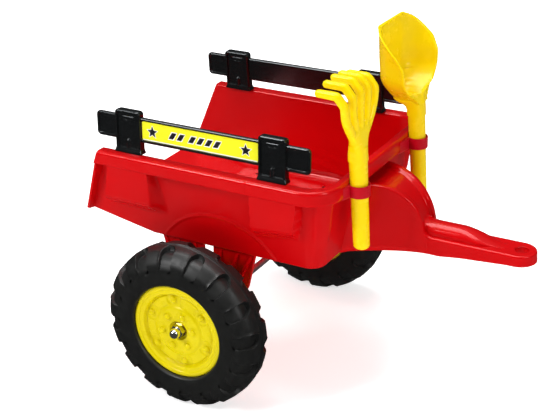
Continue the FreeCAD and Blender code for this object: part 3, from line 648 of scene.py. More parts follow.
def drawbar_lines():
    """Bead line, middle line and outline of the right half, station by station up to the round end."""
    bead, middle, outline = [], [], []
    centre_z = HITCH_TOP - HITCH_R
    wall_count, arc_count = 20, 30
    crown_z = BAR_TOP_Z + CROWN
    arc_x = HITCH_FRONT - HITCH_R
    for i in range(wall_count):
        f = i / wall_count
        bead.append((mix(walls(HITCH_TOP)[1] - 1.5, arc_x, f), HITCH_TOP))
        middle.append((mix(walls(HITCH_TOP - 5.0)[1] - 1.5, arc_x, f), HITCH_TOP - 5.0))
        outline.append((mix(walls(FLOOR_Z)[1] - 1.5, 214.0, f), FLOOR_Z))
    inner_r = HITCH_R - 5.0
    dive = math.degrees(math.asin((crown_z - centre_z) / inner_r))
    for i in range(arc_count + 1):
        a = mix(90.0, 0.0, i / arc_count)
        c, s = math.cos(math.radians(a)), math.sin(math.radians(a))
        bead.append((arc_x + HITCH_R * c, max(BAR_TOP_Z, centre_z + HITCH_R * s)))
        if a > dive:
            middle.append((arc_x + inner_r * c, centre_z + inner_r * s))
        else:
            knee = arc_x + inner_r * math.cos(math.radians(dive))
            middle.append((mix(knee, 283.0, (dive - a) / dive), crown_z))
        outline.append((mix(214.0, 286.0, (i / arc_count) ** 0.9), FLOOR_Z))
    for x in steps(285.0, BAR_TIP_X - BAR_HALF, 2.2):
        bead.append((x, BAR_TOP_Z))
        middle.append((x, crown_z))
        outline.append((x + 1.0 if x < 300.0 else x, bar_low(x)))
    start = wall_count + arc_count - 9
    middle = [tuple(v) for v in smoothed(middle, 6, start, start + 16)]
    bead = [tuple(v) for v in smoothed(bead, 3, start + 4, start + 16)]
    return bead, middle, outline


def rib_height(x):
    """The tow bar's crown rib sinks into the plate towards the eye."""
    return CROWN * ramp(386.0, 322.0, x)


def rib_half(x):
    """The rib narrows to a point at the same time."""
    return 17.0 * math.sqrt(max(0.0, facet(387.0, 350.0, x))) + 0.01


SIDE_ROWS = 12
BEAD_W, BEAD_ROUND = 10.0, 2.6
BAR_TOP_HALF = BAR_HALF - 0.6       # the bar's sides draw in a little towards its top
BEAD_TURNS = turned(22.5, 45.0, 67.5, 90.0)


def panel_dip(f, station_f):
    """Shallow recessed panel on the hitch box's side."""
    return (1.5 * ramp(0.12, 0.20, f) * ramp(0.90, 0.80, f) * ramp(0.16, 0.22, station_f)
            * ramp(0.80, 0.70, station_f))


def drawbar_section(i, bead, middle, outline):
    """Points of one station from the lower edge over the bead to the middle line."""
    (bx, bz), (mx, mz), (ox, oz) = bead[i], middle[i], outline[i]
    on_bar = facet(272.0, 286.0, bx)
    foot = hitch_foot_half(ox) if ox < 285.0 else BAR_HALF
    top = mix(hitch_top_half(bx), BAR_TOP_HALF, on_bar)
    section = []
    for f in (k / SIDE_ROWS for k in range(SIDE_ROWS + 1)):
        y = mix(foot, top, f) - panel_dip(f, i / 50.0) * (1.0 - on_bar)
        flare = 4.0 * (1.0 - on_bar) * ramp(6.0, 0.0, i) * (1.0 - f * 0.5)
        section.append((mix(ox, bx, f), y + flare, mix(oz, bz - BEAD_ROUND, f)))
    for c, s in BEAD_TURNS:
        section.append((bx, top - BEAD_ROUND * (1.0 - c), bz - BEAD_ROUND * (1.0 - s)))
    bead_inner = mix(top - BEAD_W, rib_half(mx), on_bar) + 2.2 * (1.0 - on_bar)
    section += [(bx, mix(top - BEAD_ROUND, bead_inner, f), bz) for f in (0.35, 0.7, 1.0)]
    for f in (k / 12.0 for k in range(1, 13)):
        drop = ramp(0.0, 0.22, f)
        box_point = Vector((mix(bx, mx, drop), mix(bead_inner, 0.0, f), mix(bz, mz, drop)))
        crown = rib_half(mx) * math.cos(f * math.pi / 2.0)
        bar_point = Vector((mx, crown, BAR_TOP_Z + rib_height(mx) * math.sin(f * math.pi / 2.0) ** 0.75))
        section.append(tuple(box_point.lerp(bar_point, on_bar)))
    return [(x, -y, z) for x, y, z in section]


def open_eye(section):
    """Spreads a bar station's plate points between its bead and the eye's bore."""
    x = section[SIDE_ROWS][0]
    reach = EYE_R ** 2 - (x - EYE_X) ** 2
    inner = math.sqrt(reach) if reach > 0.0 else 0.0
    for k, f in plate_shares(section):
        section[k] = (x, -mix(BAR_TOP_HALF - BEAD_ROUND, inner, f), BAR_TOP_Z)


def plate_shares(section):
    """Places of the plate's points in a section, with their shares of the way to the middle."""
    first = SIDE_ROWS + len(BEAD_TURNS)
    return [(k, (k - first) / (len(section) - 1 - first)) for k in range(first + 1, len(section))]


def tip_section(step, like):
    """Station of the bar's round tip; step 24 is its very end."""
    tip_x = BAR_TIP_X - BAR_HALF
    centre = Vector((tip_x, 0.0, 0.0))
    low = bar_low(tip_x)
    a = math.radians(90.0 * step / 24.0)
    out = Vector((math.sin(a), -math.cos(a), 0.0))
    section = []
    for f in (k / SIDE_ROWS for k in range(SIDE_ROWS + 1)):
        height = Vector((0, 0, mix(low, BAR_TOP_Z - BEAD_ROUND, f)))
        section.append(tuple(centre + out * mix(BAR_HALF, BAR_TOP_HALF, f) + height))
    for c, s in BEAD_TURNS:
        lift = Vector((0, 0, BAR_TOP_Z - BEAD_ROUND * (1.0 - s)))
        section.append(tuple(centre + out * (BAR_TOP_HALF - BEAD_ROUND * (1.0 - c)) + lift))
    start_angle = math.acos(max(-1.0, min(1.0, (tip_x - EYE_X) / EYE_R)))
    b = mix(start_angle, 0.0, step / 24.0)
    hole = Vector((EYE_X + EYE_R * math.cos(b), -EYE_R * math.sin(b), BAR_TOP_Z))
    rim = centre + out * (BAR_TOP_HALF - BEAD_ROUND) + Vector((0, 0, BAR_TOP_Z))
    return section + [tuple(rim.lerp(hole, f)) for _, f in plate_shares(like)]


def make_drawbar():
    bead, middle, outline = drawbar_lines()
    right = [drawbar_section(i, bead, middle, outline) for i in range(len(bead))]
    for section, (x, _) in zip(right, bead):
        if x > EYE_X - EYE_R - 7.0:
            open_eye(section)
    right += [tip_section(step, right[0]) for step in range(1, 25)]
    shape = Shape()
    shape.grid(right + [[mirrored(p) for p in section] for section in reversed(right[:-1])])
    sheet = make_piece("drawbar_shell", shape, "chassis", RED, ["drawbar"], sharp=50.0)
    add_modifier(sheet, "SOLIDIFY", thickness=SHEET * MM, offset=-1.0, use_even_offset=True)
    boss = Shape()
    sections = [(EYE_R, BAR_TOP_Z - 0.3), (EYE_R, BAR_TOP_Z - BOSS_DEEP),
                (EYE_R + BOSS_WALL, BAR_TOP_Z - BOSS_DEEP), (EYE_R + BOSS_WALL, BAR_TOP_Z - 1.0)]
    boss.grid([[(EYE_X + r * math.cos(a), r * math.sin(a), z) for a in full_turn(48)] for r, z in sections],
              loop_rows=True, loop_columns=True)
    make_piece("drawbar_boss", boss, "chassis", RED)
    foot = Shape()
    block_plate(foot, (70.0, TUB_TOP_FRONT - 25.0), (-60.0, 60.0), (FLOOR_Z - 8.0, FLOOR_Z - 0.05), 2.0)
    make_piece("drawbar_foot", foot, "chassis", RED)


def block_plate(shape, x_span, y_span, z_span, edge):
    """Flat plate with rounded corners and softened edges, drawn as stacked outlines."""
    low, high = z_span
    shape.tube([rounded_ring(x_span, y_span, 8.0, inset, z) for z, inset in (
        (low, edge), (low + edge * 0.3, edge * 0.3), (low + edge, 0.0), (high - edge, 0.0),
        (high - edge * 0.3, edge * 0.3), (high, edge))])


def rounded_ring(x_span, y_span, corner, inset, z, arc=6):
    """Level outline of a rectangle with round corners."""
    ring = []
    (x0, x1), (y0, y1) = x_span, y_span
    for cx, cy, start in ((x1 - corner, y1 - corner, 0.0), (x0 + corner, y1 - corner, 90.0),
                          (x0 + corner, y0 + corner, 180.0), (x1 - corner, y0 + corner, 270.0)):
        for k in range(arc + 1):
            a = math.radians(start + 90.0 * k / arc)
            radius = corner - inset
            ring.append((cx + radius * math.cos(a), cy + radius * math.sin(a), z))
    return ring


# ---------------------------------------------------------------- wheels, drawn on the left
def wheel_point(radius, offset, angle):
    return (radius * math.cos(angle), WHEEL_Y + offset, AXLE_Z + radius * math.sin(angle))


PITCH = 2.0 * math.pi * WHEEL_R / LUGS
POCKET_TIP = 4.0                    # distance of a pocket's point from the middle of the tread
POCKET_BELLY = 22.0                 # where the pocket is widest


def pocket_sides(w):
    """Back and front edge of a pocket, round the tyre, at a distance from the middle of the tread."""
    near = max(0.0, min(1.0, (POCKET_BELLY - w) / (POCKET_BELLY - POCKET_TIP)))
    bow = math.sqrt(max(0.0, 1.0 - near * near))
    back = 2.0 - max(2.2, 12.5 * bow)
    front = 2.0 + max(1.2, 9.0 * bow ** 0.7)
    if w > POCKET_BELLY:
        back -= 0.10 * (w - POCKET_BELLY)
    return back, front


def tread_columns():
    """Column roles over one pitch: pocket floor, its walls, and the lug between pockets."""
    roles = [("pocket", t / 7.0) for t in range(8)]
    roles += [("wall", 1.0), ("lip", 0.0), ("lip", 1.0)]
    roles += [("land", t / 7.0) for t in range(1, 7)]
    roles += [("edge", 0.0), ("edge", 1.0)]
    return roles


COLUMNS = tread_columns()


def column_place(index, w):
    """Where a column runs round the tyre, in mm, how deep it lies and how high its lip is."""
    role, t = COLUMNS[index]
    back, front = pocket_sides(abs(w))
    floor_back, floor_front = back + 0.7, front - 0.7
    land_start, land_end = front + 2.2, back + PITCH - 1.0
    if role == "pocket":
        place, depth, lip = mix(floor_back, floor_front, t), 1.0, 0.0
    elif role == "wall":
        place, depth, lip = front + 0.15, 0.0, 0.6
    elif role == "lip":
        place, depth, lip = mix(front + 0.7, front + 1.7, t), 0.0, mix(1.0, 0.15, t)
    elif role == "land":
        place, depth, lip = mix(land_start, land_end, t), 0.0, 0.0
    else:
        place, depth, lip = mix(land_end + 0.3, back + PITCH - 0.15, t), 0.0, 0.0
    even = PITCH * index / len(COLUMNS)
    hold = ramp(1.0, POCKET_TIP, abs(w))
    return mix(even, place, hold), depth * ramp(POCKET_TIP - 0.5, POCKET_TIP + 1.5, abs(w)), lip * hold


def tyre_profile():
    """(offset, radius on the lugs, radius in the pockets) from the outer bead to the middle."""
    outer = [(w, r, r) for w, r in ((24.5, HUB_R), (26.5, 69.6), (29.6, 70.4), (31.0, 72.0), (31.5, 74.2),
                                    (31.5, 80.0), (31.5, 86.0), (31.5, 90.5))]
    shoulder = [(31.5, 92.0, 90.7), (31.5, 97.0, 92.5), (31.4, 100.5, 94.5), (30.9, 102.8, 96.5),
                (29.4, 105.6, 99.5), (27.2, 108.6, 103.0), (25.0, 111.4, 106.0), (22.6, 113.8, 108.6),
                (20.0, 116.0, 110.4), (17.6, 117.5, 111.6), (15.0, 118.4, 112.4)]
    crown = [(12.0, 119.0, 112.8), (9.5, 119.3, 113.0), (7.4, 119.5, 113.1), (6.0, 119.6, 113.2),
             (4.8, 119.7, 113.4), (3.8, 119.7, 119.7), (3.0, 119.7, 119.7), (2.5, 120.0, 120.0),
             (1.9, 120.0, 120.0), (1.5, 119.4, 119.4), (0.9, 119.3, 119.3), (0.5, 119.9, 119.9),
             (0.0, 120.0, 120.0)]
    return outer + shoulder + crown


def tyre_rows():
    """Closed rows round the tyre, one for each profile point, from the outer to the inner bead."""
    half = tyre_profile()
    rows = []
    for side, profile in ((1.0, half), (-1.0, half[-2::-1])):
        for w, high, deep in profile:
            on_tread = ramp(90.0, 96.0, high)
            stagger = 0.25 * side * ramp(0.2, 3.0, abs(w))
            row = []
            for lug in range(LUGS):
                for index in range(len(COLUMNS)):
                    place, depth, lip = column_place(index, w)
                    place = mix(PITCH * index / len(COLUMNS), place, on_tread)
                    radius = mix(high, deep, depth) + 0.7 * lip * on_tread
                    out = 0.35 * lip * on_tread * ramp(26.0, 31.0, abs(w))
                    angle = 2.0 * math.pi * (lug + stagger + place / PITCH) / LUGS
                    row.append(wheel_point(radius, side * (w + out), angle))
            rows.append(row)
    return rows


def make_tyre(side):
    shape = Shape()
    rows = tyre_rows()
    inner = []
    for w, r in ((-12.0, 66.5), (-24.5, 76.0), (-23.0, 96.0), (-12.0, 107.0), (12.0, 107.0), (23.0, 96.0),
                 (24.5, 76.0), (12.0, 66.5)):
        inner.append([wheel_point(r, w, math.atan2(p[2] - AXLE_Z, p[0])) for p in rows[0]])
    shape.grid(rows + inner, loop_rows=True, loop_columns=True)
    make_piece(f"tyre_tread_{side}", shape, f"wheel_{side}", TYRE, [f"tyre_{side}"],
               flip=side == "right", sharp=44.0)


DISC = [(9.0, 16.5), (12.6, 16.5), (13.4, 22.6), (30.0, 23.2), (34.0, 22.6), (37.0, 20.3), (40.0, 19.6),
        (54.0, 18.6), (56.4, 24.2), (62.2, 24.4), (63.2, 26.2), (68.6, 26.0), (HUB_R, 24.2)]
OUTER_HEADS = (47.0, 37.6)          # radius of the bolt circle and first head's angle
INNER_HEADS = (25.0, 8.6)


def head_spots(circle):
    radius, first = circle
    return [(radius, math.radians(first + 60.0 * i)) for i in range(6)]


def disc_height(r, angle):
    """Offset of the disc's face: rolled profile, and a scalloped step between the outer heads."""
    height = softened(DISC, r, 0.7)
    nearest = min(math.sqrt(r * r + c * c - 2.0 * r * c * math.cos(angle - a)) for c, a in
                  head_spots(OUTER_HEADS))
    plateau = ramp(10.5, 12.5, nearest) * ramp(53.0, 51.0, r) * ramp(37.5, 39.5, r)
    rise = 1.5 * plateau
    for circle in (OUTER_HEADS, INNER_HEADS):
        for c, a in head_spots(circle):
            away = math.sqrt(max(0.0, r * r + c * c - 2.0 * r * c * math.cos(angle - a)))
            rise = max(rise, 1.3 * ramp(8.5, 4.0, away))
    return height + rise


def make_disc(side):
    shape = Shape()
    turns = full_turn(216)
    radii = merged(steps(9.0, 37.0, 1.1), steps(37.0, 54.0, 0.9), steps(54.0, HUB_R, 0.8), apart=0.3)
    rows = [[wheel_point(r, disc_height(r, a), a) for a in turns] for r in radii]
    rows += [[wheel_point(r, w, a) for a in turns] for r, w in (
        (HUB_R, 22.0), (HUB_R, -12.0), (67.0, -12.0), (67.0, 21.0), (59.0, 21.0), (56.0, 15.5),
        (20.0, 15.5), (20.0, 8.0), (9.0, 8.0))]
    shape.grid(rows, loop_rows=True, loop_columns=True)
    for circle, low in ((OUTER_HEADS, 19.5), (INNER_HEADS, 23.2)):
        for c, a in head_spots(circle):
            centre = Vector(wheel_point(c, low, a))
            shape.tube([[tuple(centre + Vector((radius * math.cos(t), lift, radius * math.sin(t))))
                         for t in full_turn(24)] for radius, lift in (
                (5.4, -1.5), (5.2, 0.5), (4.9, 2.0), (4.4, 3.1), (3.4, 4.1), (2.0, 4.8), (0.7, 5.1))])
    make_piece(f"wheel_face_{side}", shape, f"wheel_{side}", HUB_YELLOW,
               [f"wheel_disc_{side}"], flip=side == "right", sharp=46.0)


# ---------------------------------------------------------------- boards, posts and labels, drawn on the left
def leaned(point):
    """Tips a point of a board or post towards the middle of the trailer."""
    x, y, z = point
    middle_y = sum(POST_Y) / 2.0
    c, s = math.cos(BOARD_LEAN), math.sin(BOARD_LEAN)
    return (x, middle_y + (y - middle_y) * c - (z - RIM_Z) * s, RIM_Z + (y - middle_y) * s + (z - RIM_Z) * c)


def relief_slab(shape, x_span, z_span, y_span, corner, edge, outside, inside, xs, zs):
    """Upright slab with rounded corners and edges; outside and inside give each face's relief."""
    (x0, x1), (z0, z1), (y0, y1) = x_span, z_span, y_span
    rounding = [0.0, edge * 0.12, edge * 0.4, edge]
    xs = merged([x0 + d for d in rounding], [x1 - d for d in rounding],
                [x for x in xs if x0 + edge < x < x1 - edge], apart=0.1)
    zs = merged([z0 + d for d in rounding], [z1 - d for d in rounding],
                [z for z in zs if z0 + edge < z < z1 - edge], apart=0.1)

    def place(x, z):
        """Pulls the grid's corners onto round ones and tells how far in from the outline a point is."""
        dx = max(x0 + corner - x, x - x1 + corner)
        dz = max(z0 + corner - z, z - z1 + corner)
        inward = min(x - x0, x1 - x, z - z0, z1 - z)
        if dx > 0.0 and dz > 0.0:
            shrink = max(dx, dz) / math.hypot(dx, dz)
            x = x + math.copysign(dx * (1.0 - shrink), (x0 + x1) / 2.0 - x)
            z = z + math.copysign(dz * (1.0 - shrink), (z0 + z1) / 2.0 - z)
        return x, z, inward

    faces = []
    for y, sign, relief in ((y1, 1.0, outside), (y0, -1.0, inside)):
        rows = []
        for z in zs:
            row = []
            for x in xs:
                px, pz, inward = place(x, z)
                short = max(0.0, edge - inward)
                drop = edge - math.sqrt(max(0.0, edge * edge - short * short))
                row.append(leaned((px, y + sign * (relief(px, pz) - drop), pz)))
            rows.append(row)
        shape.grid(rows)
        faces.append(rows)
    outlines = []
    for rows in faces:
        outlines.append(rows[0] + [row[-1] for row in rows[1:]] + rows[-1][-2::-1]
                        + [row[0] for row in rows[-2:0:-1]])
    shape.grid(outlines, loop_columns=True)


def frame_relief(x, z, x_span, z_span, border, corner, depth, slope=1.0):
    """Sunk panel with round corners inside a raised border."""
    (x0, x1), (z0, z1) = x_span, z_span
    cx = max(x0 + border + corner - x, x - x1 + border + corner, 0.0)
    cz = max(z0 + border + corner - z, z - z1 + border + corner, 0.0)
    beyond = math.hypot(cx, cz) - corner
    return -depth * ramp(slope * 0.5, -slope * 0.5, beyond)


def make_board(side):
    half = POST_W / 2.0
    rear = (BOARD_X[0], POST_X[0] - half + 3.0)
    middle = (POST_X[0] + half - 3.0, POST_X[1] - half + 3.0)
    front = (POST_X[1] + half - 3.0, BOARD_X[1])

    def panels(spans, depth):
        return lambda x, z: min(frame_relief(x, z, x_span, BOARD_Z, BOARD_BORDER, 2.5, depth, 1.2)
                                for x_span in spans)

    edges = [around(place) for pair in (rear, middle, front)
             for place in (pair[0] + BOARD_BORDER, pair[1] - BOARD_BORDER)]
    xs = merged(steps(*BOARD_X, 3.0), *edges, apart=0.3)
    zs = merged(steps(*BOARD_Z, 2.4), around(BOARD_Z[0] + BOARD_BORDER), around(BOARD_Z[1] - BOARD_BORDER),
                apart=0.3)
    shape = Shape()
    relief_slab(shape, BOARD_X, BOARD_Z, BOARD_Y, 6.0, 2.4, panels((rear, middle, front), 2.0),
                panels((rear, front), 1.6), xs, zs)
    make_piece(f"board_{side}", shape, "chassis", BLACK, [f"side_board_{side}"],
               flip=side == "right")


LABEL_MARGIN = 4.4
LABEL_FACE = BOARD_Y[1] - 2.0


def label_span():
    half = POST_W / 2.0
    return (POST_X[0] + half + 1.2, POST_X[1] - half - 1.2)


def thin_mark(shape, outline, face, thick=0.12):
    """Flat print on the label."""
    back = [leaned((x, face - thick, z)) for x, z in outline]
    front = [leaned((x, face, z)) for x, z in outline]
    shape.tube([back, front])


def star(cx, cz, outer, inner):
    points = []
    for k in range(10):
        radius = outer if k % 2 == 0 else inner
        a = math.radians(90.0 + 36.0 * k)
        points.append((cx + radius * math.cos(a), cz + radius * math.sin(a)))
    return points


def slanted_bar(cx, cz, wide, high, lean=3.0):
    return [(cx - wide / 2.0 - lean, cz - high / 2.0), (cx + wide / 2.0 - lean, cz - high / 2.0),
            (cx + wide / 2.0 + lean, cz + high / 2.0), (cx - wide / 2.0 + lean, cz + high / 2.0)]


def make_label(side):
    """Yellow sticker with a white margin, two plain stars and a row of slanted bars."""
    flip = side == "right"
    x_span = label_span()
    z_span = (BOARD_Z[0] + LABEL_MARGIN, BOARD_Z[1] - LABEL_MARGIN)
    shape = Shape()
    xs, zs = steps(*x_span, 4.0), steps(*z_span, 3.0)

    def wave(x, z):
        """Air under the sticker and its slightly uneven lay."""
        return 0.06 * noise.noise(Vector((x * 0.06, z * 0.09, 3.7)))

    relief_slab(shape, x_span, z_span, (LABEL_FACE + 0.02, LABEL_FACE + 0.4), 2.0, 0.18, wave,
                lambda x, z: 0.0, xs, zs)
    make_piece(f"label_{side}", shape, "chassis", LABEL_YELLOW, [f"side_label_{side}"], flip=flip)
    middle_x, middle_z = sum(x_span) / 2.0, sum(z_span) / 2.0
    face = LABEL_FACE + 0.55
    stars = [(x_span[0] + 17.0, middle_z), (x_span[1] - 19.0, middle_z)]
    bars = [middle_x + k * 13.0 for k in (-3.2, -2.2, -0.8, 0.2, 1.2, 2.2)]
    white, black = Shape(), Shape()
    for cx, cz in stars:
        thin_mark(white, star(cx, cz, 10.0, 4.6), face)
        thin_mark(black, star(cx, cz, 8.4, 3.7), face + 0.05)
    for cx in bars:
        thin_mark(white, slanted_bar(cx, middle_z, 9.6, 11.6), face)
        thin_mark(black, slanted_bar(cx, middle_z, 7.4, 9.2), face + 0.05)
    edge_z = z_span[0] + 1.0
    thin_mark(white, [(x_span[0] + 1.5, edge_z - 0.5), (x_span[1] - 1.5, edge_z - 0.5),
                      (x_span[1] - 1.5, edge_z + 0.7), (x_span[0] + 1.5, edge_z + 0.7)], face)
    for tone, marks, ink in (("light", white, LABEL_WHITE), ("dark", black, LABEL_BLACK)):
        make_piece(f"label_{tone}_print_{side}", marks, "chassis", ink, flip=flip, weld=0.0)


def make_post(side, end, x):
    """Sleeve round the board: rimmed panel, peg, shallow crescent and a flared foot."""
    half = POST_W / 2.0
    x_span, z_span = (x - half, x + half), (RIM_Z - 1.0, POST_TOP)
    peg_top, peg_r, border = RIM_Z + 20.0, 3.4, 3.6

    def face(px, pz):
        panel = frame_relief(px, pz, x_span, (z_span[0] - 12.0, z_span[1]), border, 3.0, 2.6, 0.9)
        away = abs(px - x) if pz < peg_top - peg_r else math.hypot(px - x, pz - peg_top + peg_r)
        peg = 2.6 * math.sqrt(max(0.0, 1.0 - (away / peg_r) ** 2))
        bowl_top = POST_TOP - 8.5
        bowl_low = bowl_top - 6.0 * math.sqrt(max(0.0, 1.0 - ((px - x) / 9.5) ** 2))
        crescent = -1.1 * ramp(bowl_top + 0.4, bowl_top - 0.4, pz) * ramp(bowl_low - 0.4, bowl_low + 0.4, pz)
        return panel + peg + crescent

    xs = merged(steps(*x_span, 1.1), around(x_span[0] + border), around(x_span[1] - border),
                around(x - 3.3, 0.6), around(x + 3.3, 0.6), apart=0.25)
    zs = merged(steps(*z_span, 1.2), around(POST_TOP - border), apart=0.3)
    shape = Shape()
    relief_slab(shape, x_span, z_span, POST_Y, 5.0, 2.2, face, face, xs, zs)
    rings = []
    for z, grow in ((RIM_Z + 0.05, 1.6), (RIM_Z + 2.2, 1.3), (RIM_Z + 4.0, 0.6), (RIM_Z + 6.5, 0.0)):
        ring = rounded_ring((x_span[0] - grow, x_span[1] + grow), (POST_Y[0] - 0.4 * grow, POST_Y[1] + grow),
                            2.2, 0.0, z, arc=3)
        rings.append([leaned(p) for p in ring])
    shape.tube(rings)
    make_piece(f"{end}_post_{side}_body", shape, "chassis", BLACK, [f"{end}_post_{side}"],
               flip=side == "right")


# ---------------------------------------------------------------- tool rings
def make_ring(side):
    """Loop round a tool handle that spreads into a foot on the rim's lip, with faint flow lines."""
    low, high = RING_Z
    start = RIM_FRONT - 0.8
    bore_start = math.asin((TOOL_X - start) / RING_BORE_R)
    leave = math.radians(28.0)

    def on_circle(radius, angle):
        return Vector((TOOL_X + radius * math.sin(angle), -radius * math.cos(angle), 0.0))

    def foot(sign, spread):
        """Outer and inner line of the foot on one side, from its tip to the loop."""
        turn = -leave if sign < 0 else math.pi + leave
        bore_turn = -bore_start if sign < 0 else math.pi + bore_start
        tip = Vector((start, sign * spread, 0.0))
        knee = Vector((start + 3.6, sign * (RING_OUTER_R + 5.0), 0.0))
        root, bore = on_circle(RING_OUTER_R, turn), on_circle(RING_BORE_R, bore_turn)
        pairs = []
        for k in range(19):
            t = k / 18.0
            outer = tip.lerp(knee, t).lerp(knee.lerp(root, t), t)
            if t < 0.6:
                inner = (tip - Vector((0.0, sign * 0.6, 0.0))).lerp(bore, t / 0.6)
            else:
                inner = on_circle(RING_BORE_R, mix(bore_turn, turn, (t - 0.6) / 0.4))
            pairs.append((outer, inner))
        return pairs

    turns = steps(-leave, math.pi + leave, 0.09)
    loop = [(on_circle(RING_OUTER_R, a), on_circle(RING_BORE_R, a)) for a in turns]
    pairs = foot(-1.0, 40.0) + loop[1:-1] + foot(1.0, 27.0)[::-1]
    shape = Shape()
    rows = []
    for outer, inner in pairs:
        across = outer - inner
        outward = across.normalized() if across.length > 0.01 else Vector((1.0, 0.0, 0.0))
        soft = min(0.6, max(across.length, 0.3) * 0.35)
        row = []
        for z in (mix(low + soft, high - soft, k / 18.0) for k in range(19)):
            flow = sum(ramp(0.8, 0.2, abs(z - mix(low, high, f))) for f in (0.3, 0.52, 0.74))
            row.append((outer, -0.22 * flow, z))
        slight = soft * 0.3
        row += [(outer, -slight, high - slight), (outer, -soft, high), (inner, soft, high),
                (inner, 0.0, high - soft), (inner, 0.0, low + soft), (inner, soft, low),
                (outer, -soft, low), (outer, -slight, low + slight)]
        rows.append([tuple(line + outward * d + Vector((0.0, TOOL_Y, z))) for line, d, z in row])
    shape.tube(rows)
    make_piece(f"ring_band_{side}", shape, "chassis", RING_RED, [f"tool_ring_{side}"],
               flip=side == "right")


# ---------------------------------------------------------------- tools
def level_circle(x, y, z, radius):
    return [(x + radius * math.cos(a), y + radius * math.sin(a), z) for a in full_turn(40)]


def handle_x(lean, z):
    """Axis of a leaning handle at a height."""
    return TOOL_X - (z - sum(RING_Z) / 2.0) * math.tan(lean)


def handle_radius(z):
    return mix(*HANDLE_R, facet(HANDLE_LOW + 8.0, NECK_Z, z))


def handle(shape, y, lean, top):
    """Round handle that leans back and widens upwards, with a rounded lower end."""
    rows = []
    for c, s in turned(4.0, 20.0, 40.0, 60.0, 75.0, 90.0):
        z = HANDLE_LOW + END_ROUND - END_ROUND * c
        rows.append(level_circle(handle_x(lean, z), y, z, HANDLE_R[0] - END_ROUND + END_ROUND * s))
    for z in steps(HANDLE_LOW + 9.0, top, 4.0):
        rows.append(level_circle(handle_x(lean, z), y, z, handle_radius(z)))
    shape.tube(rows)


def pipe(shape, path, radii):
    """Round bar along a path of points, its ends closed by half spheres."""
    side = Vector((0.0, 1.0, 0.0))
    turns = [(math.cos(a), math.sin(a)) for a in full_turn(24)]
    square = [(math.copysign(abs(c) ** 0.72, c), math.copysign(abs(s) ** 0.72, s)) for c, s in turns]

    def ring(i, shift=0.0, shrink=1.0):
        """Ring at a point of the path; shift and shrink are shares of the radius there."""
        ahead = (path[min(len(path) - 1, i + 1)] - path[max(0, i - 1)]).normalized()
        up = ahead.cross(side).normalized()
        across = up.cross(ahead).normalized()
        centre = path[i] + ahead * radii[i] * shift
        return [tuple(centre + (up * c + across * s) * (radii[i] * shrink) * 0.96) for c, s in square]

    closing = turned(80.0, 60.0, 40.0, 20.0)
    rings = [ring(0, -s, c) for c, s in closing]
    rings += [ring(i) for i in range(len(path))]
    rings += [ring(len(path) - 1, s, c) for c, s in closing[::-1]]
    shape.tube(rings)


def rounded_path(points, radius, per_bend=8):
    """Polyline whose inner corners are rounded."""
    points = [Vector(p) for p in points]
    path = [points[0]]
    for before, corner, after in zip(points, points[1:], points[2:]):
        a = corner + (before - corner).normalized() * min(radius, (before - corner).length * 0.48)
        b = corner + (after - corner).normalized() * min(radius, (after - corner).length * 0.48)
        for k in range(per_bend + 1):
            t = k / per_bend
            path.append(a.lerp(corner, t).lerp(corner.lerp(b, t), t))
    path.append(points[-1])
    dense = []
    for a, b in zip(path, path[1:]):
        count = max(1, int((b - a).length / 2.5))
        dense += [a.lerp(b, k / count) for k in range(count)]
    return dense + [path[-1]]


TINES = (-43.0, -21.5, 0.0, 21.5, 43.0)
TINE_R = 5.7
HEAD_X = 215.0                      # middle of the upright part of the tines
# (height, share of the full spread)
TINE_SPREAD = [(372.0, 0.10), (390.0, 0.22), (401.0, 0.38), (415.0, 0.64), (428.0, 0.86), (440.0, 0.97),
               (450.0, 1.0)]
# (height, half thickness)
PALM_THICK = [(366.0, 12.0), (380.0, 11.4), (398.0, 8.0), (410.0, 6.4), (417.0, 5.0), (428.0, 1.5)]


def make_rake():
    """Five-tined hand rake, its tines growing out of a fanned palm and bent back over the tub."""
    shape = Shape()
    y = -TOOL_Y
    handle(shape, y, RAKE_LEAN, 386.0)
    for offset in TINES:
        top = 473.0 - 7.5 * (offset / TINES[-1]) ** 2
        points = []
        for z in (384.0, 393.0, 402.0, 411.0, 420.0, 429.0, 438.0, top - 13.0):
            x = mix(handle_x(RAKE_LEAN, z) + 2.0, HEAD_X, facet(380.0, 415.0, z))
            points.append((x, y + offset * softened(TINE_SPREAD, z, 5.0), z))
        points += [(HEAD_X - 10.5, y + offset, top), (HEAD_X - 36.0, y + offset, top + 0.5)]
        path = rounded_path(points, 3.2, 4)
        radii = [TINE_R - 0.5 * facet(HEAD_X - 8.0, HEAD_X - 36.0, p.x) for p in path]
        pipe(shape, path, radii)
    palm = []
    for z in steps(366.0, 428.0, 3.1):
        x = mix(handle_x(RAKE_LEAN, z), HEAD_X, facet(376.0, 412.0, z)) - 3.5 * facet(410.0, 424.0, z)
        half = max(handle_radius(z), TINES[-1] * softened(TINE_SPREAD, z, 5.0) + TINE_R - 0.4)
        palm.append(rounded_level(x, y, z, along(PALM_THICK, z), half))
    shape.tube(palm)
    rake = make_piece("rake_body", shape, "rake", TOOL_YELLOW, ["rake"], sharp=60.0, weld=0.0)
    remesh = add_modifier(rake, "REMESH", mode="VOXEL", voxel_size=0.9 * MM, use_smooth_shade=True)
    remesh.adaptivity = 0.0
    add_modifier(rake, "SMOOTH", factor=0.5, iterations=4)


def rounded_level(x, y, z, half_x, half_y):
    """Level ring shaped between an ellipse and a rectangle."""
    turns = [(math.cos(a), math.sin(a)) for a in full_turn(32)]
    return [(x + math.copysign(abs(c) ** 0.6, c) * half_x, y + math.copysign(abs(s) ** 0.6, s) * half_y, z)
            for c, s in turns]


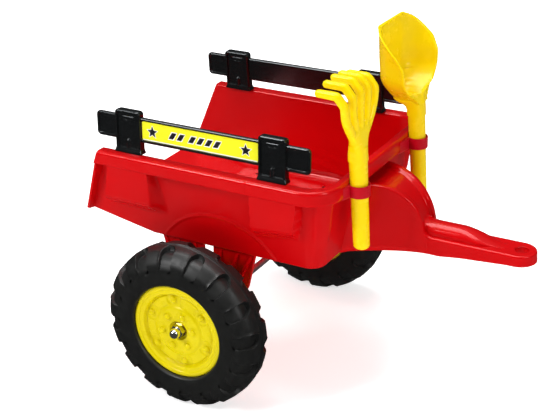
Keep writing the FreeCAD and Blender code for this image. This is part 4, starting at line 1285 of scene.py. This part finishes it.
# (height, x of the back, half width of the back, half width at SCOOP_FRONT_X)
SCOOP = [(385.0, 186.0, 12.0, 14.0), (393.0, 179.0, 17.0, 19.0), (403.0, 173.0, 27.0, 40.0),
         (413.0, 171.0, 37.0, 53.0), (425.0, 170.0, 45.0, 63.0), (451.0, 169.0, 47.0, 68.0),
         (SCOOP_TOP + 6.0, 170.0, 50.0, 112.0)]
# (height, x of the front edge)
SCOOP_EDGE = [(384.0, 223.0), (392.0, 221.0), (402.0, 218.0), (414.0, 217.0), (441.0, 216.5), (448.0, 215.5),
              (464.0, 207.0), (483.0, 188.0), (493.0, 177.5), (SCOOP_TOP, 171.2)]
SCOOP_FRONT_X = 240.0
SCOOP_WALL = 2.6
SCOOP_SILL = 403.0                   # below this the front is closed as well


def scoop_line(z, inset):
    """Left half of the scoop's level line, from the middle of its back to its front edge."""
    back_x, back_half, front_half = (softened([(p[0], p[k]) for p in SCOOP], z, 5.0) for k in (1, 2, 3))
    back_x, back_half, front_half = back_x + inset, back_half - inset, front_half - inset
    edge_x = max(softened(SCOOP_EDGE, z, 2.0), back_x + 1.0)
    toward = Vector((SCOOP_FRONT_X - back_x, front_half - back_half, 0.0)).normalized()
    reach = min(22.0, 0.72 * back_half)
    corner = Vector((back_x, back_half, 0.0))
    start, end = corner - Vector((0.0, reach, 0.0)), corner + toward * reach
    line = [Vector((back_x, start.y * k / 6.0, 0.0)) for k in range(6)]
    line += [start.lerp(corner, t).lerp(corner.lerp(end, t), t) for t in (k / 14.0 for k in range(15))]
    line += [end + toward * d for d in steps(0.0, 70.0, 3.0)[1:]]
    kept = [p for p in line if p.x < edge_x]
    if len(kept) < len(line):
        a, b = kept[-1], line[len(kept)]
        kept.append(a.lerp(b, (edge_x - a.x) / max(1e-6, b.x - a.x)))
    gap = facet(SCOOP_SILL - 4.0, SCOOP_SILL + 4.0, z)
    if gap < 1.0:
        front, side = kept[-1].x - max(0.0, inset) - 1.0, kept[-1].y
        kept += [Vector((front + 2.0 * math.sin(math.pi * k / 12.0), side * mix(1.0, gap, k / 6.0), 0.0))
                 for k in range(1, 7)]
    above = z - (SCOOP_TOP - 7.0)
    if above > 0.0:
        limit = kept[-1].y - 7.0 + math.sqrt(max(0.0, 49.0 - above * above))
        kept = [p for p in kept if p.y <= limit]
    return kept


def evenly(line, count):
    """The same line with a fixed number of points, evenly spaced."""
    lengths = [0.0]
    for a, b in zip(line, line[1:]):
        lengths.append(lengths[-1] + (b - a).length)
    spaced, i = [], 0
    for k in range(count + 1):
        want = lengths[-1] * k / count
        while i < len(lengths) - 2 and lengths[i + 1] < want:
            i += 1
        spaced.append(line[i].lerp(line[i + 1], (want - lengths[i]) / max(1e-9, lengths[i + 1] - lengths[i])))
    return spaced


def scoop_ring(z):
    """Closed level ring of the scoop: its outside, its beaded front edge and its inside."""
    count = 34
    thick = 0.7 * ramp(SCOOP_TOP - 4.0, SCOOP_TOP - 1.5, z)
    outer = evenly(scoop_line(z, -thick), count)
    inner = evenly(scoop_line(z, SCOOP_WALL + thick), count)
    rib = sum(ramp(1.7, 0.3, abs(z - at)) for at in (399.5, 406.0, 421.0))
    half = []
    for k, (a, b) in enumerate(zip(outer, inner)):
        out = (a - b).normalized()
        bead = ramp(5.0, 2.0, (a - outer[-1]).length)
        half.append((a + out * 0.9 * bead, b - out * 0.5 * bead - out * rib * ramp(24.0, 16.0, k)))
    a, b = half[-1]
    ahead = (outer[-1] - outer[-2]).normalized()
    cap = [a.lerp(b, f) + ahead * 1.6 * math.sin(math.pi * f) ** 0.6 for f in (0.15, 0.35, 0.65, 0.85)]
    left_side = [p for p, _ in half] + cap + [p for _, p in reversed(half)]
    right_side = [Vector(mirrored(p)) for p in reversed(left_side)]
    return [(p.x, p.y + TOOL_Y, z) for p in left_side + right_side]


# (height, reach behind the handle's axis, reach ahead of it, half width)
HEEL = [(366.0, 12.1, 12.1, 12.1), (374.0, 12.4, 12.2, 12.4), (379.0, 13.6, 12.0, 13.2),
        (382.5, 18.0, 11.6, 14.4), (385.0, 25.0, 11.2, 15.6), (387.5, 29.0, 10.8, 17.2),
        (390.0, 31.0, 10.2, 18.6), (391.5, 31.0, 9.4, 18.4)]


def make_shovel():
    """Square-ended hand shovel, open towards the front, with a beaded rim and a ribbed heel."""
    shape = Shape()
    handle(shape, TOOL_Y, SHOVEL_LEAN, 372.0)
    heights = merged(steps(386.0, 426.0, 1.1), steps(426.0, SCOOP_TOP - 8.0, 2.6),
                     steps(SCOOP_TOP - 8.0, SCOOP_TOP - 0.4, 1.0), apart=0.4)
    rings = [scoop_ring(z) for z in heights]
    shape.grid(rings, loop_columns=True)
    half = len(rings[0]) // 2
    quarter = half // 2
    for ring in (rings[0], rings[-1]):
        shape.grid([ring[:quarter], ring[half - 1:quarter - 1:-1]])
        shape.grid([ring[half:half + quarter], ring[:half + quarter - 1:-1]])
    heel = []
    for z, back, front, half_y in HEEL:
        x = handle_x(SHOVEL_LEAN, z)
        ring = rounded_level(x + (front - back) / 2.0, TOOL_Y, z, (front + back) / 2.0, half_y)
        lift = facet(385.0, 391.5, z)
        heel.append([(px, py, pz + lift * 3.4 * ramp(9.0, 0.0, abs(py - TOOL_Y)) * ramp(x, x + 8.0, px))
                     for px, py, pz in ring])
    shape.tube(heel)
    make_piece("shovel_body", shape, "shovel", TOOL_YELLOW, ["shovel"], sharp=50.0)


# ---------------------------------------------------------------- stage, light and camera
def make_floor():
    mesh = bpy.data.meshes.new("studio_floor")
    size = 14.0
    mesh.from_pydata([(-size, -size, 0), (size, -size, 0), (size, size, 0), (-size, size, 0)], [],
                     [(0, 1, 2, 3)])
    floor = add_object("studio_floor", mesh)
    g = Graph("studio_white")
    g.link(g.blend(g.remap(g.noise(1.5), 0.0, 1.0), (0.93, 0.93, 0.93), (0.91, 0.91, 0.91)),
           g.shader.inputs["Base Color"])
    away = g.node("ShaderNodeVectorMath", operation="LENGTH")
    g.link(g.place, away.inputs[0])
    glow = g.remap(away.outputs["Value"], 0.66, 0.9, 0.45, 1.5)
    g.link(glow, g.shader.inputs["Emission Strength"])
    set_inputs(g.shader, {"Emission Color": WHITE, "Roughness": 0.6, "Specular IOR Level": 0.2})
    mesh.materials.append(g.material)
    floor.visible_glossy = False


def make_backdrop():
    """White cove all round the studio, seen by the camera only, so that it adds no light."""
    mesh = bpy.data.meshes.new("studio_cove")
    profile = [(12.0, -0.02), (13.0, 0.2), (13.7, 0.9), (14.0, 2.0), (14.0, 9.0)]
    turns = full_turn(64)
    count = len(turns)
    points = [(r * math.cos(a), r * math.sin(a), z) for r, z in profile for a in turns]
    faces = [(i + k, i + (k + 1) % count, i + count + (k + 1) % count, i + count + k)
             for i in range(0, len(points) - count, count) for k in range(count)]
    mesh.from_pydata(points, [], faces)
    cove = add_object("studio_cove", mesh)
    g = Graph("studio_cove_white")
    g.link(g.remap(g.noise(0.4), 0.98, 1.0), g.shader.inputs["Emission Strength"])
    set_inputs(g.shader, {"Emission Color": WHITE})
    mesh.materials.append(g.material)
    cove.visible_diffuse = cove.visible_glossy = cove.visible_shadow = False


def make_light(name, place, target, size, power):
    data = bpy.data.lights.new(name, "AREA")
    data.shape = "RECTANGLE"
    data.size = data.size_y = size
    data.energy = power
    lamp = add_object(name, data)
    lamp.location = place
    lamp.rotation_euler = (Vector(target) - Vector(place)).to_track_quat("-Z", "Y").to_euler()


def make_world():
    """Studio surroundings: dim all round, bright overhead."""
    world = bpy.data.worlds.new("studio")
    bpy.context.scene.world = world
    world.use_nodes = True
    tree = world.node_tree
    place = tree.nodes.new("ShaderNodeTexCoord")
    split = tree.nodes.new("ShaderNodeSeparateXYZ")
    tree.links.new(place.outputs["Generated"], split.inputs[0])
    sky = tree.nodes.new("ShaderNodeMapRange")
    sky.interpolation_type = "SMOOTHSTEP"
    tree.links.new(split.outputs["Z"], sky.inputs["Value"])
    set_inputs(sky, dict(zip(RANGE_INPUTS, (0.45, 0.95, 0.05, 0.5))))
    background = tree.nodes["Background"]
    tree.links.new(sky.outputs["Result"], background.inputs["Color"])
    set_inputs(background, {"Strength": 1.0})


def make_camera():
    """Camera at the catalogue view: slightly tilted, long lens, looking down on the trailer."""
    azimuth, elevation, roll = (math.radians(a) for a in (29.99, 24.765, -1.434))
    distance, target = 1.8058, Vector((-0.0806, 0.0, 0.2244))
    back = Vector((math.sin(azimuth) * math.cos(elevation), -math.cos(azimuth) * math.cos(elevation),
                   math.sin(elevation)))
    right = Vector((0.0, 0.0, 1.0)).cross(back).normalized()
    up = back.cross(right)
    turned_right = right * math.cos(roll) + up * math.sin(roll)
    turned_up = up * math.cos(roll) - right * math.sin(roll)
    data = bpy.data.cameras.new("camera")
    data.sensor_width = 36.0
    data.lens = 80.46
    data.clip_end = 60.0
    camera = add_object("camera", data)
    turn = Matrix((turned_right, turned_up, back)).transposed().to_4x4()
    camera.matrix_world = Matrix.Translation(target + back * distance) @ turn
    bpy.context.scene.camera = camera


def make_studio():
    make_floor()
    make_backdrop()
    make_world()
    make_light("soft_top", (-0.3, 0.1, 2.4), (0.0, 0.0, 0.2), 1.5, 48.0)
    make_light("key_left", (-1.6, -2.4, 2.2), (0.0, 0.0, 0.25), 0.9, 60.0)
    make_light("fill_right", (2.6, -1.0, 1.6), (0.1, 0.0, 0.25), 0.8, 24.0)
    bpy.context.scene.view_settings.view_transform = "Standard"


make_camera()
make_studio()
repaint()
make_tub()
make_drawbar()
for side in ("left", "right"):
    make_tyre(side)
    make_disc(side)
    make_board(side)
    make_label(side)
    for end, x in zip(("rear", "front"), POST_X):
        make_post(side, end, x)
    make_ring(side)
make_rake()
make_shovel()
